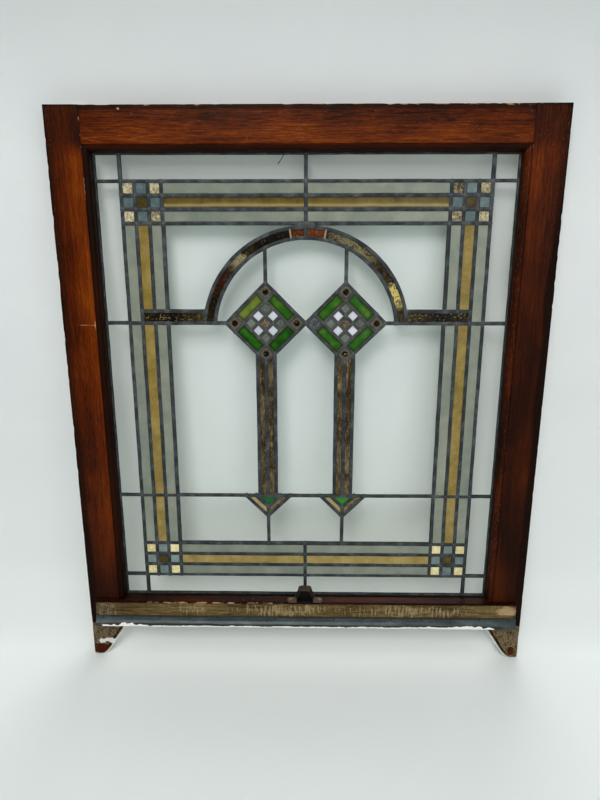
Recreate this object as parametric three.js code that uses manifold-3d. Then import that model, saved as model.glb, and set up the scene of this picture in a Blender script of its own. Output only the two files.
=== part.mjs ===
// Upper window sash with a leaded art glass panel.
//
// A wooden sash (two stiles with horns, a top rail and a deeper meeting rail) holds one panel of coloured and
// clear glass in soldered lead cames. Millimetres. +X runs to the right, +Y away from the room, +Z up. The
// origin is the middle of the sash's upper edge, where the sash meets the head of its window frame.

import * as THREE from "three";
import { mergeVertices } from "three/addons/utils/BufferGeometryUtils.js";
import Module from "manifold-3d";

const wasm = await Module();
wasm.setup();

// ---------------------------------------------------------------------------------------------------------
// Driving dimensions
// ---------------------------------------------------------------------------------------------------------

const GAP = 0.3; // clearance between pieces that touch
const PAST = 5; // how far a cutting shape reaches past what it cuts
const ARC_STEPS = 16; // straight stretches in each of the arch's half rounds

// The sash, a nominal 30 by 36 inches over its horns, 1 3/8 inch thick.
const HALF_WIDTH = 381;
const HEIGHT = 914;
const FRONT = -17.5;
const BACK = 17.5;

// The wood's sections.
const STILE_FACE = 52;
const TOP_RAIL_FACE = 53;
const STICKING = 9; // width of the moulded inner edge
const QUIRK = 2.5; // the moulding's first step down from the face
const OVOLO = 6.5; // its quarter round
const REBATE = 5.5; // how far the glass rebate reaches in behind the moulding
const LEDGE_Z = -803; // the meeting rail's upper face
const RAIL_BASE_Z = -849; // its lower edge
const LEDGE_LIP = 8; // how far its upper front arris stands out from the stiles
const RAIL_TOE = 12; // how far its lower front arris does
const LAP_END = 368; // half length of the stretch that laps over the stiles
const ARRIS = 2.5; // the worn round along the ledge's front
const TENON = { thick: 10, topHigh: -10, topLow: -46, railHigh: -812, railLow: -842 };
const CORD_GROOVE = { wide: 12.7, deep: 11, end: -150, knotRadius: 9.5, knotDeep: 20 };
const HORN = { foot: 16, shoulder: -856 };
const PUTTY = { wide: 7, low: 1, crest: 1.5 }; // its reach in, its thin edge, and the gap to the sash's back

// The leaded panel: its depth in the sash, and the came.
const PANEL_FRONT = 1.5;
const CAME = { wide: 5.5, thin: 3, flange: 1, heart: 1.6, deep: 6 };
const GLASS = { front: 1.4, back: 4.6 };
const EDGE = { x: 319.75, top: -62.75, bottom: -802.75 }; // centre line of the lead around the panel

// The lead lines, as centre lines in elevation.
const BORDER_X = 281; // outer line of the border
const BORDER_TOP = -102.5;
const BORDER_BOTTOM = -764.5;
const PITCH = 20.5; // one border strip and one came
const FIELD_X = BORDER_X - 3 * PITCH;
const FIELD_TOP = BORDER_TOP - 3 * PITCH;
const FIELD_BOTTOM = BORDER_BOTTOM + 3 * PITCH;
const BAR_END = BORDER_X - PITCH; // where the bars beside the arch stop, inside the border's first strip
const BAR_TOP = -298;
const MID = -317;
const LOW = -613;
const ARCH = { z: -330.5, outer: 161.25, inner: 144.75 };
const KEYSTONE = { left: 24, right: 30 }; // reach of the crown pieces to each side, at the band's middle
const CROWN_SOLDER = 15; // half length of the solder between the arch's crown and the border
const FIELD_TIP = 18; // where the top fields run out between the border and the arch
const DIAMOND = { x: 63.5, half: 63.5, ring: 20.15 };
const STEM_HALF = 14;
const TIP = { outer: 37.5, inner: 20.5 };

// The fittings.
const STRIP = { top: -828, bend: -836, nose: -841, bottom: -846, thick: 1.2, lip: 5 };
const KEEPER = { front: -24.5, back: -11, wall: 3.5, base: 19, crown: 12, high: 26, corner: 7 };
const EAR = { reach: 31, thick: 2.5, corner: 4, screwX: 25.5 };
const SCREW = { shank: 2.2, head: 4, length: 14, point: 4, dome: 1.2, slot: 0.9, clearance: 0.4 };

// Derived places.
const FACE_X = HALF_WIDTH - STILE_FACE; // inner edge of a stile's flat face
const SIGHT_X = FACE_X - STICKING; // inner edge of its moulding
const SIGHT_TOP = -TOP_RAIL_FACE - STICKING;
const SHOULDER_Y = PANEL_FRONT - GAP; // front wall of the glass rebate
const KEEPER_MID = (KEEPER.front + KEEPER.back) / 2;

// ---------------------------------------------------------------------------------------------------------
// Materials
// ---------------------------------------------------------------------------------------------------------

const finish = (color, roughness, metalness = 0) =>
  new THREE.MeshStandardMaterial({ color, roughness, metalness });
const glassFinish = (color, opacity, roughness = 0.12) =>
  new THREE.MeshStandardMaterial({ color, roughness, metalness: 0, transparent: true, opacity });

const MATERIALS = {
  wood: finish(0x5a2610, 0.35),
  zinc: finish(0x6f7b80, 0.5, 0.8),
  bronze: finish(0x2e211a, 0.45, 0.6),
  brass: finish(0x8c7448, 0.4, 0.8),
  lead: finish(0x4a4d4f, 0.55, 0.5),
  putty: finish(0xcfc8b6, 0.9),
  clear: glassFinish(0xdfe8e4, 0.2),
  opal: glassFinish(0x8d958b, 0.9, 0.25),
  amber: glassFinish(0xa8914a, 0.85, 0.25),
  mottled: glassFinish(0x5d4a32, 0.95, 0.3),
  orange: glassFinish(0x8c4b23, 0.9, 0.25),
  mosaic: glassFinish(0x8f8f78, 0.9, 0.3),
  green: glassFinish(0x3f7a20, 0.85, 0.2),
};

// ---------------------------------------------------------------------------------------------------------
// Solids
// ---------------------------------------------------------------------------------------------------------

// A closed three.js geometry as a solid that can be joined and cut.
function solid(geometry) {
  const bare = geometry.index ? geometry.toNonIndexed() : geometry.clone();
  bare.deleteAttribute("normal");
  bare.deleteAttribute("uv");
  const merged = mergeVertices(bare, 1e-4);
  return new wasm.Manifold(new wasm.Mesh({
    numProp: 3,
    vertProperties: merged.attributes.position.array,
    triVerts: new Uint32Array(merged.index.array),
  }));
}

// A solid back as a flat-shaded geometry.
function geometryOf(body) {
  const mesh = body.getMesh();
  const geometry = new THREE.BufferGeometry();
  geometry.setAttribute("position", new THREE.BufferAttribute(new Float32Array(mesh.vertProperties), 3));
  geometry.setIndex(new THREE.BufferAttribute(new Uint32Array(mesh.triVerts), 1));
  const flat = geometry.toNonIndexed();
  flat.computeVertexNormals();
  return flat;
}

// Faces that line up become one face in a join.
const join = (bodies) => bodies.reduce((all, body) => all.add(body)).asOriginal();
const cut = (body, tools) => tools.reduce((rest, tool) => rest.subtract(tool), body);

// An outline drawn as [across, up] points.
const outline = (points) => new THREE.Shape(points.map(([a, b]) => new THREE.Vector2(a, b)));

const extrusion = (shape, depth, curveSegments = ARC_STEPS) =>
  new THREE.ExtrudeGeometry(shape, { depth, bevelEnabled: false, curveSegments });

// An outline in elevation (x, z), carried from y = front to y = back.
const slab = (shape, front, back, curveSteps) =>
  solid(extrusion(shape, back - front, curveSteps).rotateX(Math.PI / 2).translate(0, back, 0));

// An outline in plan (x, y), carried from z = low to z = high.
const column = (shape, low, high, curveSteps) =>
  solid(extrusion(shape, high - low, curveSteps).translate(0, 0, low));

// An outline in side view (y, z), carried from x = left to x = right.
const run = (shape, left, right) =>
  solid(extrusion(shape, right - left).rotateX(Math.PI / 2).rotateZ(Math.PI / 2).translate(left, 0, 0));

const block = (x0, x1, y0, y1, z0, z1) =>
  solid(new THREE.BoxGeometry(x1 - x0, y1 - y0, z1 - z0)
    .translate((x0 + x1) / 2, (y0 + y1) / 2, (z0 + z1) / 2));

// A part drawn for the right-hand side, moved to the side that `side` gives (+1 right, -1 left).
const onSide = (body, side) => (side > 0 ? body : body.mirror([1, 0, 0]));

function piece(name, body, material) {
  const mesh = new THREE.Mesh(geometryOf(body), material);
  mesh.name = name;
  return mesh;
}

// ---------------------------------------------------------------------------------------------------------
// The sash's wood
// ---------------------------------------------------------------------------------------------------------

// The moulded inner edge in section: a step down from the face, a quarter round, and a straight fillet to the
// glass. `put` turns (distance in from the face's edge, depth from the face) into the section's own axes.
function stickingPoints(put) {
  const arc = [0, 22.5, 45, 67.5, 90].map((degrees) => THREE.MathUtils.degToRad(degrees));
  const round = arc.map((angle) => [
    STICKING - OVOLO + OVOLO * Math.sin(angle),
    QUIRK + OVOLO * (1 - Math.cos(angle)),
  ]);
  return [[0, 0], [0.6, QUIRK], ...round, [STICKING, SHOULDER_Y - FRONT]].map(([a, b]) => put(a, b));
}

// The right-hand joint between top rail and stile: a straight shoulder down the face, then a mitre through
// the mouldings. `clearance` moves it towards the rail.
const railZone = (clearance) => {
  const shoulder = FACE_X - clearance;
  const mitre = 4 * STICKING; // well past the mouldings
  return slab(outline([
    [0, PAST], [shoulder, PAST], [shoulder, -TOP_RAIL_FACE],
    [shoulder - mitre, -TOP_RAIL_FACE - mitre], [0, -TOP_RAIL_FACE - mitre],
  ]), FRONT - PAST, BACK + PAST);
};

// A tenon's lowest and highest y and z, or its mortise's with a clearance.
const tenonSides = (high, low, clearance) => [
  -TENON.thick / 2 - clearance, TENON.thick / 2 + clearance, low - clearance, high + clearance,
];

// The inner side of a horn: a short ogee from the foot up to the sash's inner edge.
function hornCut() {
  const toe = HALF_WIDTH - HORN.foot;
  const shape = new THREE.Shape();
  shape.moveTo(toe, -HEIGHT - PAST);
  shape.lineTo(toe, -HEIGHT);
  shape.bezierCurveTo(toe - 14, -HEIGHT + 3, toe - 26, -HEIGHT + 33, SIGHT_X, HORN.shoulder);
  shape.lineTo(SIGHT_X - PAST, HORN.shoulder + PAST);
  shape.lineTo(SIGHT_X - PAST, -HEIGHT - PAST);
  const curveSteps = 8;
  return slab(shape, FRONT - PAST, BACK + PAST, curveSteps);
}

function stile(side) {
  const section = outline([
    ...stickingPoints((across, deep) => [FACE_X - across, FRONT + deep]),
    [SIGHT_X + REBATE, SHOULDER_Y], [SIGHT_X + REBATE, BACK], [HALF_WIDTH, BACK], [HALF_WIDTH, FRONT],
  ]);
  const bar = column(section, -HEIGHT, 0);
  const mortises = [[TENON.topHigh, TENON.topLow], [TENON.railHigh, TENON.railLow]]
    .map(([high, low]) => block(SIGHT_X - PAST, HALF_WIDTH + PAST, ...tenonSides(high, low, GAP)));
  const { wide, deep, end, knotRadius, knotDeep } = CORD_GROOVE;
  const groove = block(HALF_WIDTH - deep, HALF_WIDTH + PAST, -wide / 2, wide / 2, end, PAST);
  const knotLength = knotDeep + PAST;
  const knot = solid(new THREE.CylinderGeometry(knotRadius, knotRadius, knotLength, 12)
    .rotateZ(Math.PI / 2).translate(HALF_WIDTH - knotDeep + knotLength / 2, 0, end));
  return onSide(cut(bar, [railZone(0), ...mortises, groove, knot, hornCut()]), side);
}

function topRail() {
  const section = outline([
    [FRONT, 0], [BACK, 0], [BACK, SIGHT_TOP + REBATE], [SHOULDER_Y, SIGHT_TOP + REBATE],
    ...stickingPoints((across, deep) => [FRONT + deep, -TOP_RAIL_FACE - across]).reverse(),
  ]);
  const zone = railZone(GAP);
  const bar = run(section, -FACE_X, FACE_X).intersect(zone.add(zone.mirror([1, 0, 0])));
  const tenonEnd = HALF_WIDTH - CORD_GROOVE.deep - GAP;
  const tenon = block(-tenonEnd, tenonEnd, ...tenonSides(TENON.topHigh, TENON.topLow, 0));
  return bar.add(tenon);
}

// The meeting rail's sloping front at height z.
const railFront = (z) =>
  FRONT - LEDGE_LIP - ((RAIL_TOE - LEDGE_LIP) * (LEDGE_Z - z)) / (LEDGE_Z - RAIL_BASE_Z);

// A screw's clearance hole through whatever lies between two heights.
function screwHole(side, low, high) {
  const radius = SCREW.shank + SCREW.clearance;
  return solid(new THREE.CylinderGeometry(radius, radius, high - low, 10)
    .rotateX(Math.PI / 2).translate(side * EAR.screwX, KEEPER_MID, (low + high) / 2));
}

function meetingRail() {
  const ledgeFront = railFront(LEDGE_Z);
  const arrisMiddle = ARRIS * (1 - Math.SQRT1_2);
  const frontFace = [
    [ledgeFront + ARRIS, LEDGE_Z], [ledgeFront + arrisMiddle, LEDGE_Z - arrisMiddle],
    [ledgeFront, LEDGE_Z - ARRIS], [railFront(RAIL_BASE_Z), RAIL_BASE_Z],
  ];
  const between = outline([
    ...frontFace, [BACK, RAIL_BASE_Z], [BACK, LEDGE_Z - REBATE], [SHOULDER_Y, LEDGE_Z - REBATE],
    [SHOULDER_Y, LEDGE_Z],
  ]);
  const lap = outline([...frontFace, [FRONT - GAP, RAIL_BASE_Z], [FRONT - GAP, LEDGE_Z]]);
  const inner = SIGHT_X - GAP;
  const tenonEnd = HALF_WIDTH - GAP;
  const tenon = block(-tenonEnd, tenonEnd, ...tenonSides(TENON.railHigh, TENON.railLow, 0));
  const screwHoles = [-1, 1].map((side) => screwHole(side, LEDGE_Z - SCREW.length, LEDGE_Z + PAST));
  return cut(join([run(between, -inner, inner), run(lap, -LAP_END, LAP_END), tenon]), screwHoles);
}

// ---------------------------------------------------------------------------------------------------------
// Fittings on the meeting rail
// ---------------------------------------------------------------------------------------------------------

// Folded zinc: a flange nailed to the rail, and a lip that turns out and down from it. Its section is drawn
// in height and distance out from the rail's front.
function weatherstrip() {
  const on = (z, out) => [railFront(z) - GAP - out, z];
  const { top, bend, nose, bottom, thick, lip } = STRIP;
  const inside = lip - thick;
  const section = outline([
    on(top, 0), on(bottom, 0), on(bottom, thick), on(bend - 2 * thick, thick), on(nose - thick / 2, inside),
    on(bottom, inside), on(bottom, lip), on(nose, lip), on(bend, thick), on(top, thick),
  ]);
  return run(section, -LAP_END, LAP_END);
}

// The hood in elevation: sides leaning in to a round-cornered crown. `inset` shrinks it for the hollow, whose
// floor is the base plate.
function hoodOutline(inset) {
  const { base, crown, high, corner } = KEEPER;
  const foot = base - inset;
  const top = crown - inset;
  const crest = LEDGE_Z + GAP + high - inset;
  const floor = LEDGE_Z + GAP + (inset ? EAR.thick : 0);
  const flat = top - 0.8 * corner;
  const shape = new THREE.Shape();
  shape.moveTo(-foot, floor);
  shape.lineTo(foot, floor);
  shape.lineTo(top, crest - corner);
  shape.quadraticCurveTo(top, crest, flat, crest);
  shape.lineTo(-flat, crest);
  shape.quadraticCurveTo(-top, crest, -top, crest - corner);
  shape.closePath();
  return shape;
}

// The base plate in plan, with an ear rounded off at each end.
function earsOutline() {
  const { front, back } = KEEPER;
  const straight = EAR.reach - EAR.corner;
  const shape = new THREE.Shape();
  shape.moveTo(-straight, front);
  shape.lineTo(straight, front);
  shape.quadraticCurveTo(EAR.reach, front, EAR.reach, KEEPER_MID);
  shape.quadraticCurveTo(EAR.reach, back, straight, back);
  shape.lineTo(-straight, back);
  shape.quadraticCurveTo(-EAR.reach, back, -EAR.reach, KEEPER_MID);
  shape.quadraticCurveTo(-EAR.reach, front, -straight, front);
  return shape;
}

function lockKeeper() {
  const { front, back, wall } = KEEPER;
  const curveSteps = 3;
  const foot = LEDGE_Z + GAP;
  const base = column(earsOutline(), foot, foot + EAR.thick, curveSteps);
  const hood = slab(hoodOutline(0), front, back, curveSteps);
  const hollow = slab(hoodOutline(wall), front - PAST, back - wall, curveSteps);
  const holes = [-1, 1].map((side) => screwHole(side, foot - PAST, foot + EAR.thick + PAST));
  return cut(base.add(hood), [hollow, ...holes]);
}

function keeperScrew(side) {
  const { shank, head, length, point, dome, slot } = SCREW;
  const seat = LEDGE_Z + GAP + EAR.thick + GAP;
  const tip = seat - length;
  const profile = [
    [0, tip], [shank, tip + point], [shank, seat], [head, seat], [0.7 * head, seat + dome], [0, seat + dome],
  ].map(([r, z]) => new THREE.Vector2(r, z));
  const body = solid(new THREE.LatheGeometry(profile, 8).rotateX(Math.PI / 2));
  const reach = head + PAST;
  const groove = block(-reach, reach, -slot / 2, slot / 2, seat + dome / 2, seat + dome + PAST);
  return body.subtract(groove).translate([side * EAR.screwX, KEEPER_MID, 0]);
}

// ---------------------------------------------------------------------------------------------------------
// The lead lines
// ---------------------------------------------------------------------------------------------------------

// A came knows how to make its body at any width and depth. `heart` says that two separate panes meet in it,
// so that they stop at a heart between its flanges; without one, its flanges lie on a single pane. `flange`
// is false where another came's body already holds the flanges.
const came = (body, options = {}) => ({ body, heart: true, flange: true, wide: CAME.wide, ...options });
const noHeart = { heart: false };

// A straight came between two points in elevation.
function line(from, to, options) {
  const [x0, x1] = [Math.min(from[0], to[0]), Math.max(from[0], to[0])];
  const [z0, z1] = [Math.min(from[1], to[1]), Math.max(from[1], to[1])];
  const slope = Math.atan2(to[1] - from[1], to[0] - from[0]);
  const body = (wide, front, back) => {
    if (z0 === z1) return block(x0, x1, front, back, z0 - wide / 2, z0 + wide / 2);
    if (x0 === x1) return block(x0 - wide / 2, x0 + wide / 2, front, back, z0, z1);
    return solid(new THREE.BoxGeometry(Math.hypot(x1 - x0, z1 - z0), back - front, wide)
      .rotateY(-slope)
      .translate((x0 + x1) / 2, (front + back) / 2, (z0 + z1) / 2));
  };
  return came(body, options);
}
const lines = (pairs, options) => pairs.map(([from, to]) => line(from, to, options));
const bothSides = (pairs, options) =>
  lines([...pairs, ...pairs.map(([[x0, z0], [x1, z1]]) => [[-x0, z0], [-x1, z1]])], options);

// A came that closes on itself. `cornersAt` gives the loop's corners, moved out by a distance.
const loop = (cornersAt) => came((wide, front, back) => {
  const shape = outline(cornersAt(wide / 2));
  shape.holes.push(new THREE.Path(outline(cornersAt(-wide / 2)).getPoints()));
  return slab(shape, front, back);
});

// Two cames at 45 degrees that meet in a point below the low line.
const vee = (x, half, options) => came((wide, front, back) => {
  const across = (wide / 2) * Math.SQRT2;
  return slab(outline([
    [x - half - across, LOW], [x, LOW - half - across], [x + half + across, LOW],
    [x + half - across, LOW], [x, LOW - half + across], [x - half + across, LOW],
  ]), front, back);
}, options);

// One of the arch's two curved cames, both of which end on the middle line.
const hoop = (radius) => came((wide, front, back) => {
  const start = Math.asin((MID - ARCH.z) / radius);
  const shape = new THREE.Shape();
  shape.absarc(0, ARCH.z, radius + wide / 2, start, Math.PI - start, false);
  shape.absarc(0, ARCH.z, radius - wide / 2, Math.PI - start, start, true);
  return slab(shape, front, back);
});

const archZ = (radius, x) => ARCH.z + Math.sqrt(radius ** 2 - x ** 2);
const archX = (radius, z) => Math.sqrt(radius ** 2 - (z - ARCH.z) ** 2);

function edgeCames() {
  const { x, top, bottom } = EDGE;
  return [loop((out) => [
    [-x - out, bottom - out], [x + out, bottom - out], [x + out, top + out], [-x - out, top + out],
  ])];
}

function borderCames() {
  const rows = [[BORDER_TOP, -PITCH], [BORDER_BOTTOM, PITCH]].flatMap(([outer, step]) => {
    const inner = outer + 3 * step;
    const between = [outer + step, outer + 2 * step];
    return [
      ...lines([
        [[-EDGE.x, outer], [EDGE.x, outer]],
        [[-BORDER_X, inner], [BORDER_X, inner]],
        ...between.map((z) => [[-FIELD_X, z], [FIELD_X, z]]),
      ]),
      ...bothSides([[[FIELD_X, outer], [FIELD_X, inner]]]),
      ...bothSides([
        ...between.map((z) => [[FIELD_X, z], [BORDER_X, z]]),
        ...[1, 2].map((n) => [[BORDER_X - n * PITCH, outer], [BORDER_X - n * PITCH, inner]]),
      ], noHeart),
    ];
  });
  const uprights = bothSides([
    [[BORDER_X, EDGE.top], [BORDER_X, EDGE.bottom]],
    [[BAR_END, FIELD_TOP], [BAR_END, FIELD_BOTTOM]],
    ...[BAR_END - PITCH, FIELD_X].flatMap((x) => [
      [[x, FIELD_TOP], [x, BAR_TOP]],
      [[x, MID], [x, FIELD_BOTTOM]],
    ]),
  ]);
  const middle = lines([
    [[0, EDGE.top], [0, archZ(ARCH.inner, 0)]],
    [[0, FIELD_BOTTOM], [0, EDGE.bottom]],
  ], noHeart);
  return [...rows, ...uprights, ...middle];
}

function fieldCames() {
  return [
    ...bothSides([
      [[archX(ARCH.outer, BAR_TOP), BAR_TOP], [BAR_END, BAR_TOP]],
      [[DIAMOND.x + DIAMOND.half, MID], [BAR_END, MID]],
      [[DIAMOND.x, archZ(ARCH.inner, DIAMOND.x)], [DIAMOND.x, MID + DIAMOND.half]],
      [[DIAMOND.x, LOW - TIP.outer], [DIAMOND.x, FIELD_BOTTOM]],
    ]),
    ...lines([[[-FIELD_X, LOW], [FIELD_X, LOW]]]),
    ...bothSides([[[BAR_END, MID], [EDGE.x, MID]], [[FIELD_X, LOW], [EDGE.x, LOW]]], noHeart),
    hoop(ARCH.outer), hoop(ARCH.inner),
  ];
}

// A diamond is a square lattice stood on its corner: an outer square, a ring of long strips and corner
// squares inside it, and a field of nine small squares. It is laid out square to the axes and turned as one.
function diamondCames(side) {
  const half = DIAMOND.half * Math.SQRT1_2;
  const ring = half - DIAMOND.ring;
  const stand = (body) => body.rotate([0, 45, 0]).translate([side * DIAMOND.x, 0, MID]);
  const cross = (offset, reach, wide, front, back) => [
    block(offset - wide / 2, offset + wide / 2, front, back, -reach, reach),
    block(-reach, reach, front, back, offset - wide / 2, offset + wide / 2),
  ];
  const square = (wide, front, back) => {
    const reach = half + wide / 2;
    return [-half, half].flatMap((offset) => cross(offset, reach, wide, front, back));
  };
  const lattice = (wide, front, back) => stand(join([
    ...square(wide, front, back),
    ...[-ring, ring].flatMap((offset) => cross(offset, half, wide, front, back)),
    ...[-ring / 3, ring / 3].flatMap((offset) => cross(offset, ring, wide, front, back)),
  ]));
  const outerSquare = (wide, front, back) => stand(join(square(wide, front, back)));
  return [came(lattice, noHeart), came(outerSquare, { flange: false })];
}

function stemCames(side) {
  const x = side * DIAMOND.x;
  const shoulder = MID - DIAMOND.half + STEM_HALF; // where a side came leaves the diamond
  return [
    ...lines([-STEM_HALF, STEM_HALF].map((off) => [[x + off, shoulder], [x + off, LOW]])),
    ...lines([
      [[x, MID - DIAMOND.half], [x, LOW]],
      [[x, LOW - TIP.inner], [x, LOW - TIP.outer]],
    ], noHeart),
    vee(x, TIP.outer), vee(x, TIP.inner, noHeart),
  ];
}

// The slanting ends of the crown piece, as angles from the vertical, and the thin cames in them.
const BAND_MIDDLE = (ARCH.outer + ARCH.inner) / 2;
const KEY_LEFT = -Math.asin(KEYSTONE.left / BAND_MIDDLE);
const KEY_RIGHT = Math.asin(KEYSTONE.right / BAND_MIDDLE);
const radial = (radius, angle) => [radius * Math.sin(angle), ARCH.z + radius * Math.cos(angle)];
const crownCames = () =>
  lines([KEY_LEFT, KEY_RIGHT].map((angle) => [radial(ARCH.inner, angle), radial(ARCH.outer, angle)]),
    { wide: CAME.thin });

const BORDER_CAMES = [...edgeCames(), ...borderCames()];
const CAMES = [
  ...BORDER_CAMES, ...fieldCames(), ...crownCames(),
  ...[-1, 1].flatMap((side) => [...diamondCames(side), ...stemCames(side)]),
];

// The flanges of every came, or only the hearts, as one net.
const flanges = (front, back) =>
  join(CAMES.filter(({ flange }) => flange).map(({ body, wide }) => body(wide, front, back)));
const hearts = (cames, wide, front, back) =>
  join(cames.filter(({ heart }) => heart).map(({ body }) => body(wide, front, back)));

// Both nets of flanges, joined by the hearts of the edge and of the border. The field's hearts, thin strips
// that are hidden between its panes, are left out, and the panes keep their room.
function leadCames() {
  const { flange, heart, deep } = CAME;
  const crownSolder = block(-CROWN_SOLDER, CROWN_SOLDER, 0, deep, archZ(ARCH.outer, CROWN_SOLDER), FIELD_TOP);
  return join([
    flanges(0, flange), flanges(deep - flange, deep), crownSolder,
    hearts(BORDER_CAMES, heart, flange / 2, deep - flange / 2),
  ]);
}

// ---------------------------------------------------------------------------------------------------------
// The glass
// ---------------------------------------------------------------------------------------------------------

// Each piece is drawn on the lead's centre lines and then loses the kerf: the lead's heart and its clearance.
const KERF = hearts(CAMES, CAME.heart + 2 * GAP, GLASS.front - PAST, GLASS.back + PAST);
const pane = (shape) => slab(shape, GLASS.front, GLASS.back).subtract(KERF);
const rectangle = (x0, x1, z0, z1) => outline([[x0, z0], [x1, z0], [x1, z1], [x0, z1]]);
const panes = [];
const glaze = (name, material, shape) => panes.push(piece(name, pane(shape), material));

const SIDES = [["left", -1], ["right", 1]];

// Points along a hoop's centre line, between two angles from the vertical.
function arcPoints(radius, from, to, steps = ARC_STEPS) {
  return Array.from({ length: steps + 1 }, (_, i) => radial(radius, from + ((to - from) * i) / steps));
}
const angleAt = (radius, z) => Math.acos((z - ARCH.z) / radius);

function glazeMargin() {
  const { x, top, bottom } = EDGE;
  glaze("margin_top", MATERIALS.clear, rectangle(-BORDER_X, BORDER_X, BORDER_TOP, top));
  glaze("margin_bottom", MATERIALS.clear, rectangle(-BORDER_X, BORDER_X, bottom, BORDER_BOTTOM));
  for (const [word, side] of SIDES) {
    const upright = (low, high) => rectangle(side * BORDER_X, side * x, low, high);
    glaze(`margin_${word}`, MATERIALS.clear, upright(BORDER_BOTTOM, BORDER_TOP));
    glaze(`margin_corner_top_${word}`, MATERIALS.clear, upright(BORDER_TOP, top));
    glaze(`margin_corner_bottom_${word}`, MATERIALS.clear, upright(bottom, BORDER_BOTTOM));
  }
}

function glazeBorder() {
  const strips = [["opal_outer", MATERIALS.opal], ["amber", MATERIALS.amber], ["opal_inner", MATERIALS.opal]];
  for (const [word, outer, step] of [["top", BORDER_TOP, -PITCH], ["bottom", BORDER_BOTTOM, PITCH]]) {
    strips.forEach(([kind, material], n) =>
      glaze(`border_${word}_${kind}`, material,
        rectangle(-FIELD_X, FIELD_X, outer + n * step, outer + (n + 1) * step)));
    for (const [hand, side] of SIDES) {
      glaze(`corner_block_${word}_${hand}`, MATERIALS.mosaic,
        rectangle(side * FIELD_X, side * BORDER_X, outer, outer + 3 * step));
    }
  }
  for (const [hand, side] of SIDES) {
    const strip = (n, low, high) =>
      rectangle(side * (BORDER_X - n * PITCH), side * (BORDER_X - (n + 1) * PITCH), low, high);
    glaze(`border_${hand}_opal_outer`, MATERIALS.opal, strip(0, FIELD_BOTTOM, FIELD_TOP));
    for (const n of [1, 2]) {
      const [kind, material] = strips[n];
      glaze(`border_${hand}_${kind}_upper`, material, strip(n, BAR_TOP, FIELD_TOP));
      glaze(`border_${hand}_${kind}_lower`, material, strip(n, FIELD_BOTTOM, MID));
    }
  }
}

function glazeArch() {
  const band = (from, to) =>
    outline([...arcPoints(ARCH.outer, from, to), ...arcPoints(ARCH.inner, to, from)]);
  const foot = angleAt(BAND_MIDDLE, MID);
  glaze("arch_left", MATERIALS.mottled, band(-foot, KEY_LEFT));
  glaze("arch_crown", MATERIALS.orange, band(KEY_LEFT, KEY_RIGHT));
  glaze("arch_right", MATERIALS.mottled, band(KEY_RIGHT, foot));
  for (const [word, side] of SIDES) {
    const end = side * BAR_END;
    const [low, high] = [MID, BAR_TOP].map((z) => side * angleAt(ARCH.outer, z));
    const curve = arcPoints(ARCH.outer, low, high, 4);
    glaze(`arch_bar_${word}`, MATERIALS.mottled, outline([[end, BAR_TOP], [end, MID], ...curve]));
  }
}

function glazeMotifs() {
  const { x, half } = DIAMOND;
  for (const [word, side] of SIDES) {
    const centre = side * x;
    glaze(`diamond_${word}`, MATERIALS.green,
      outline([[centre, MID + half], [centre + half, MID], [centre, MID - half], [centre - half, MID]]));
    const shoulder = MID - half + STEM_HALF;
    glaze(`stem_${word}`, MATERIALS.mottled, outline([
      [centre - STEM_HALF, LOW], [centre - STEM_HALF, shoulder], [centre, MID - half],
      [centre + STEM_HALF, shoulder], [centre + STEM_HALF, LOW],
    ]));
    glaze(`arrow_tip_${word}`, MATERIALS.mottled,
      outline([[centre - TIP.outer, LOW], [centre + TIP.outer, LOW], [centre, LOW - TIP.outer]]));
  }
}

function glazeField() {
  const { x, half } = DIAMOND;
  const crownAngle = Math.asin(x / ARCH.inner);
  const clear = MATERIALS.clear;
  glaze("field_arch_middle", clear, outline([
    ...arcPoints(ARCH.inner, -crownAngle, crownAngle), [x, MID + half], [0, MID], [-x, MID + half],
  ]));
  glaze("field_middle", clear, outline([
    [0, MID], [x - STEM_HALF, MID - half + STEM_HALF], [x - STEM_HALF, LOW],
    [-x + STEM_HALF, LOW], [-x + STEM_HALF, MID - half + STEM_HALF],
  ]));
  glaze("field_low_middle", clear, outline([
    [-x + TIP.outer, LOW], [x - TIP.outer, LOW], [x, LOW - TIP.outer], [x, FIELD_BOTTOM],
    [-x, FIELD_BOTTOM], [-x, LOW - TIP.outer],
  ]));
  for (const [word, side] of SIDES) {
    const at = (points) => outline(points.map(([px, pz]) => [side * px, pz]));
    const tipAngle = Math.asin(FIELD_TIP / ARCH.outer);
    glaze(`field_top_${word}`, clear, at([
      [FIELD_X, BAR_TOP], [FIELD_X, FIELD_TOP], [FIELD_TIP, FIELD_TOP],
      ...arcPoints(ARCH.outer, tipAngle, angleAt(ARCH.outer, BAR_TOP)),
    ]));
    glaze(`field_arch_${word}`, clear, at([
      [x, MID + half], ...arcPoints(ARCH.inner, crownAngle, angleAt(ARCH.inner, MID)), [x + half, MID],
    ]));
    glaze(`field_side_${word}`, clear, at([
      [FIELD_X, MID], [x + half, MID], [x + STEM_HALF, MID - half + STEM_HALF], [x + STEM_HALF, LOW],
      [FIELD_X, LOW],
    ]));
    glaze(`field_low_${word}`, clear, at([
      [FIELD_X, LOW], [x + TIP.outer, LOW], [x, LOW - TIP.outer], [x, FIELD_BOTTOM], [FIELD_X, FIELD_BOTTOM],
    ]));
  }
}

// ---------------------------------------------------------------------------------------------------------
// The putty that beds the panel from behind: a sloping bead in the rebate, mitred into one ring
// ---------------------------------------------------------------------------------------------------------

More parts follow.
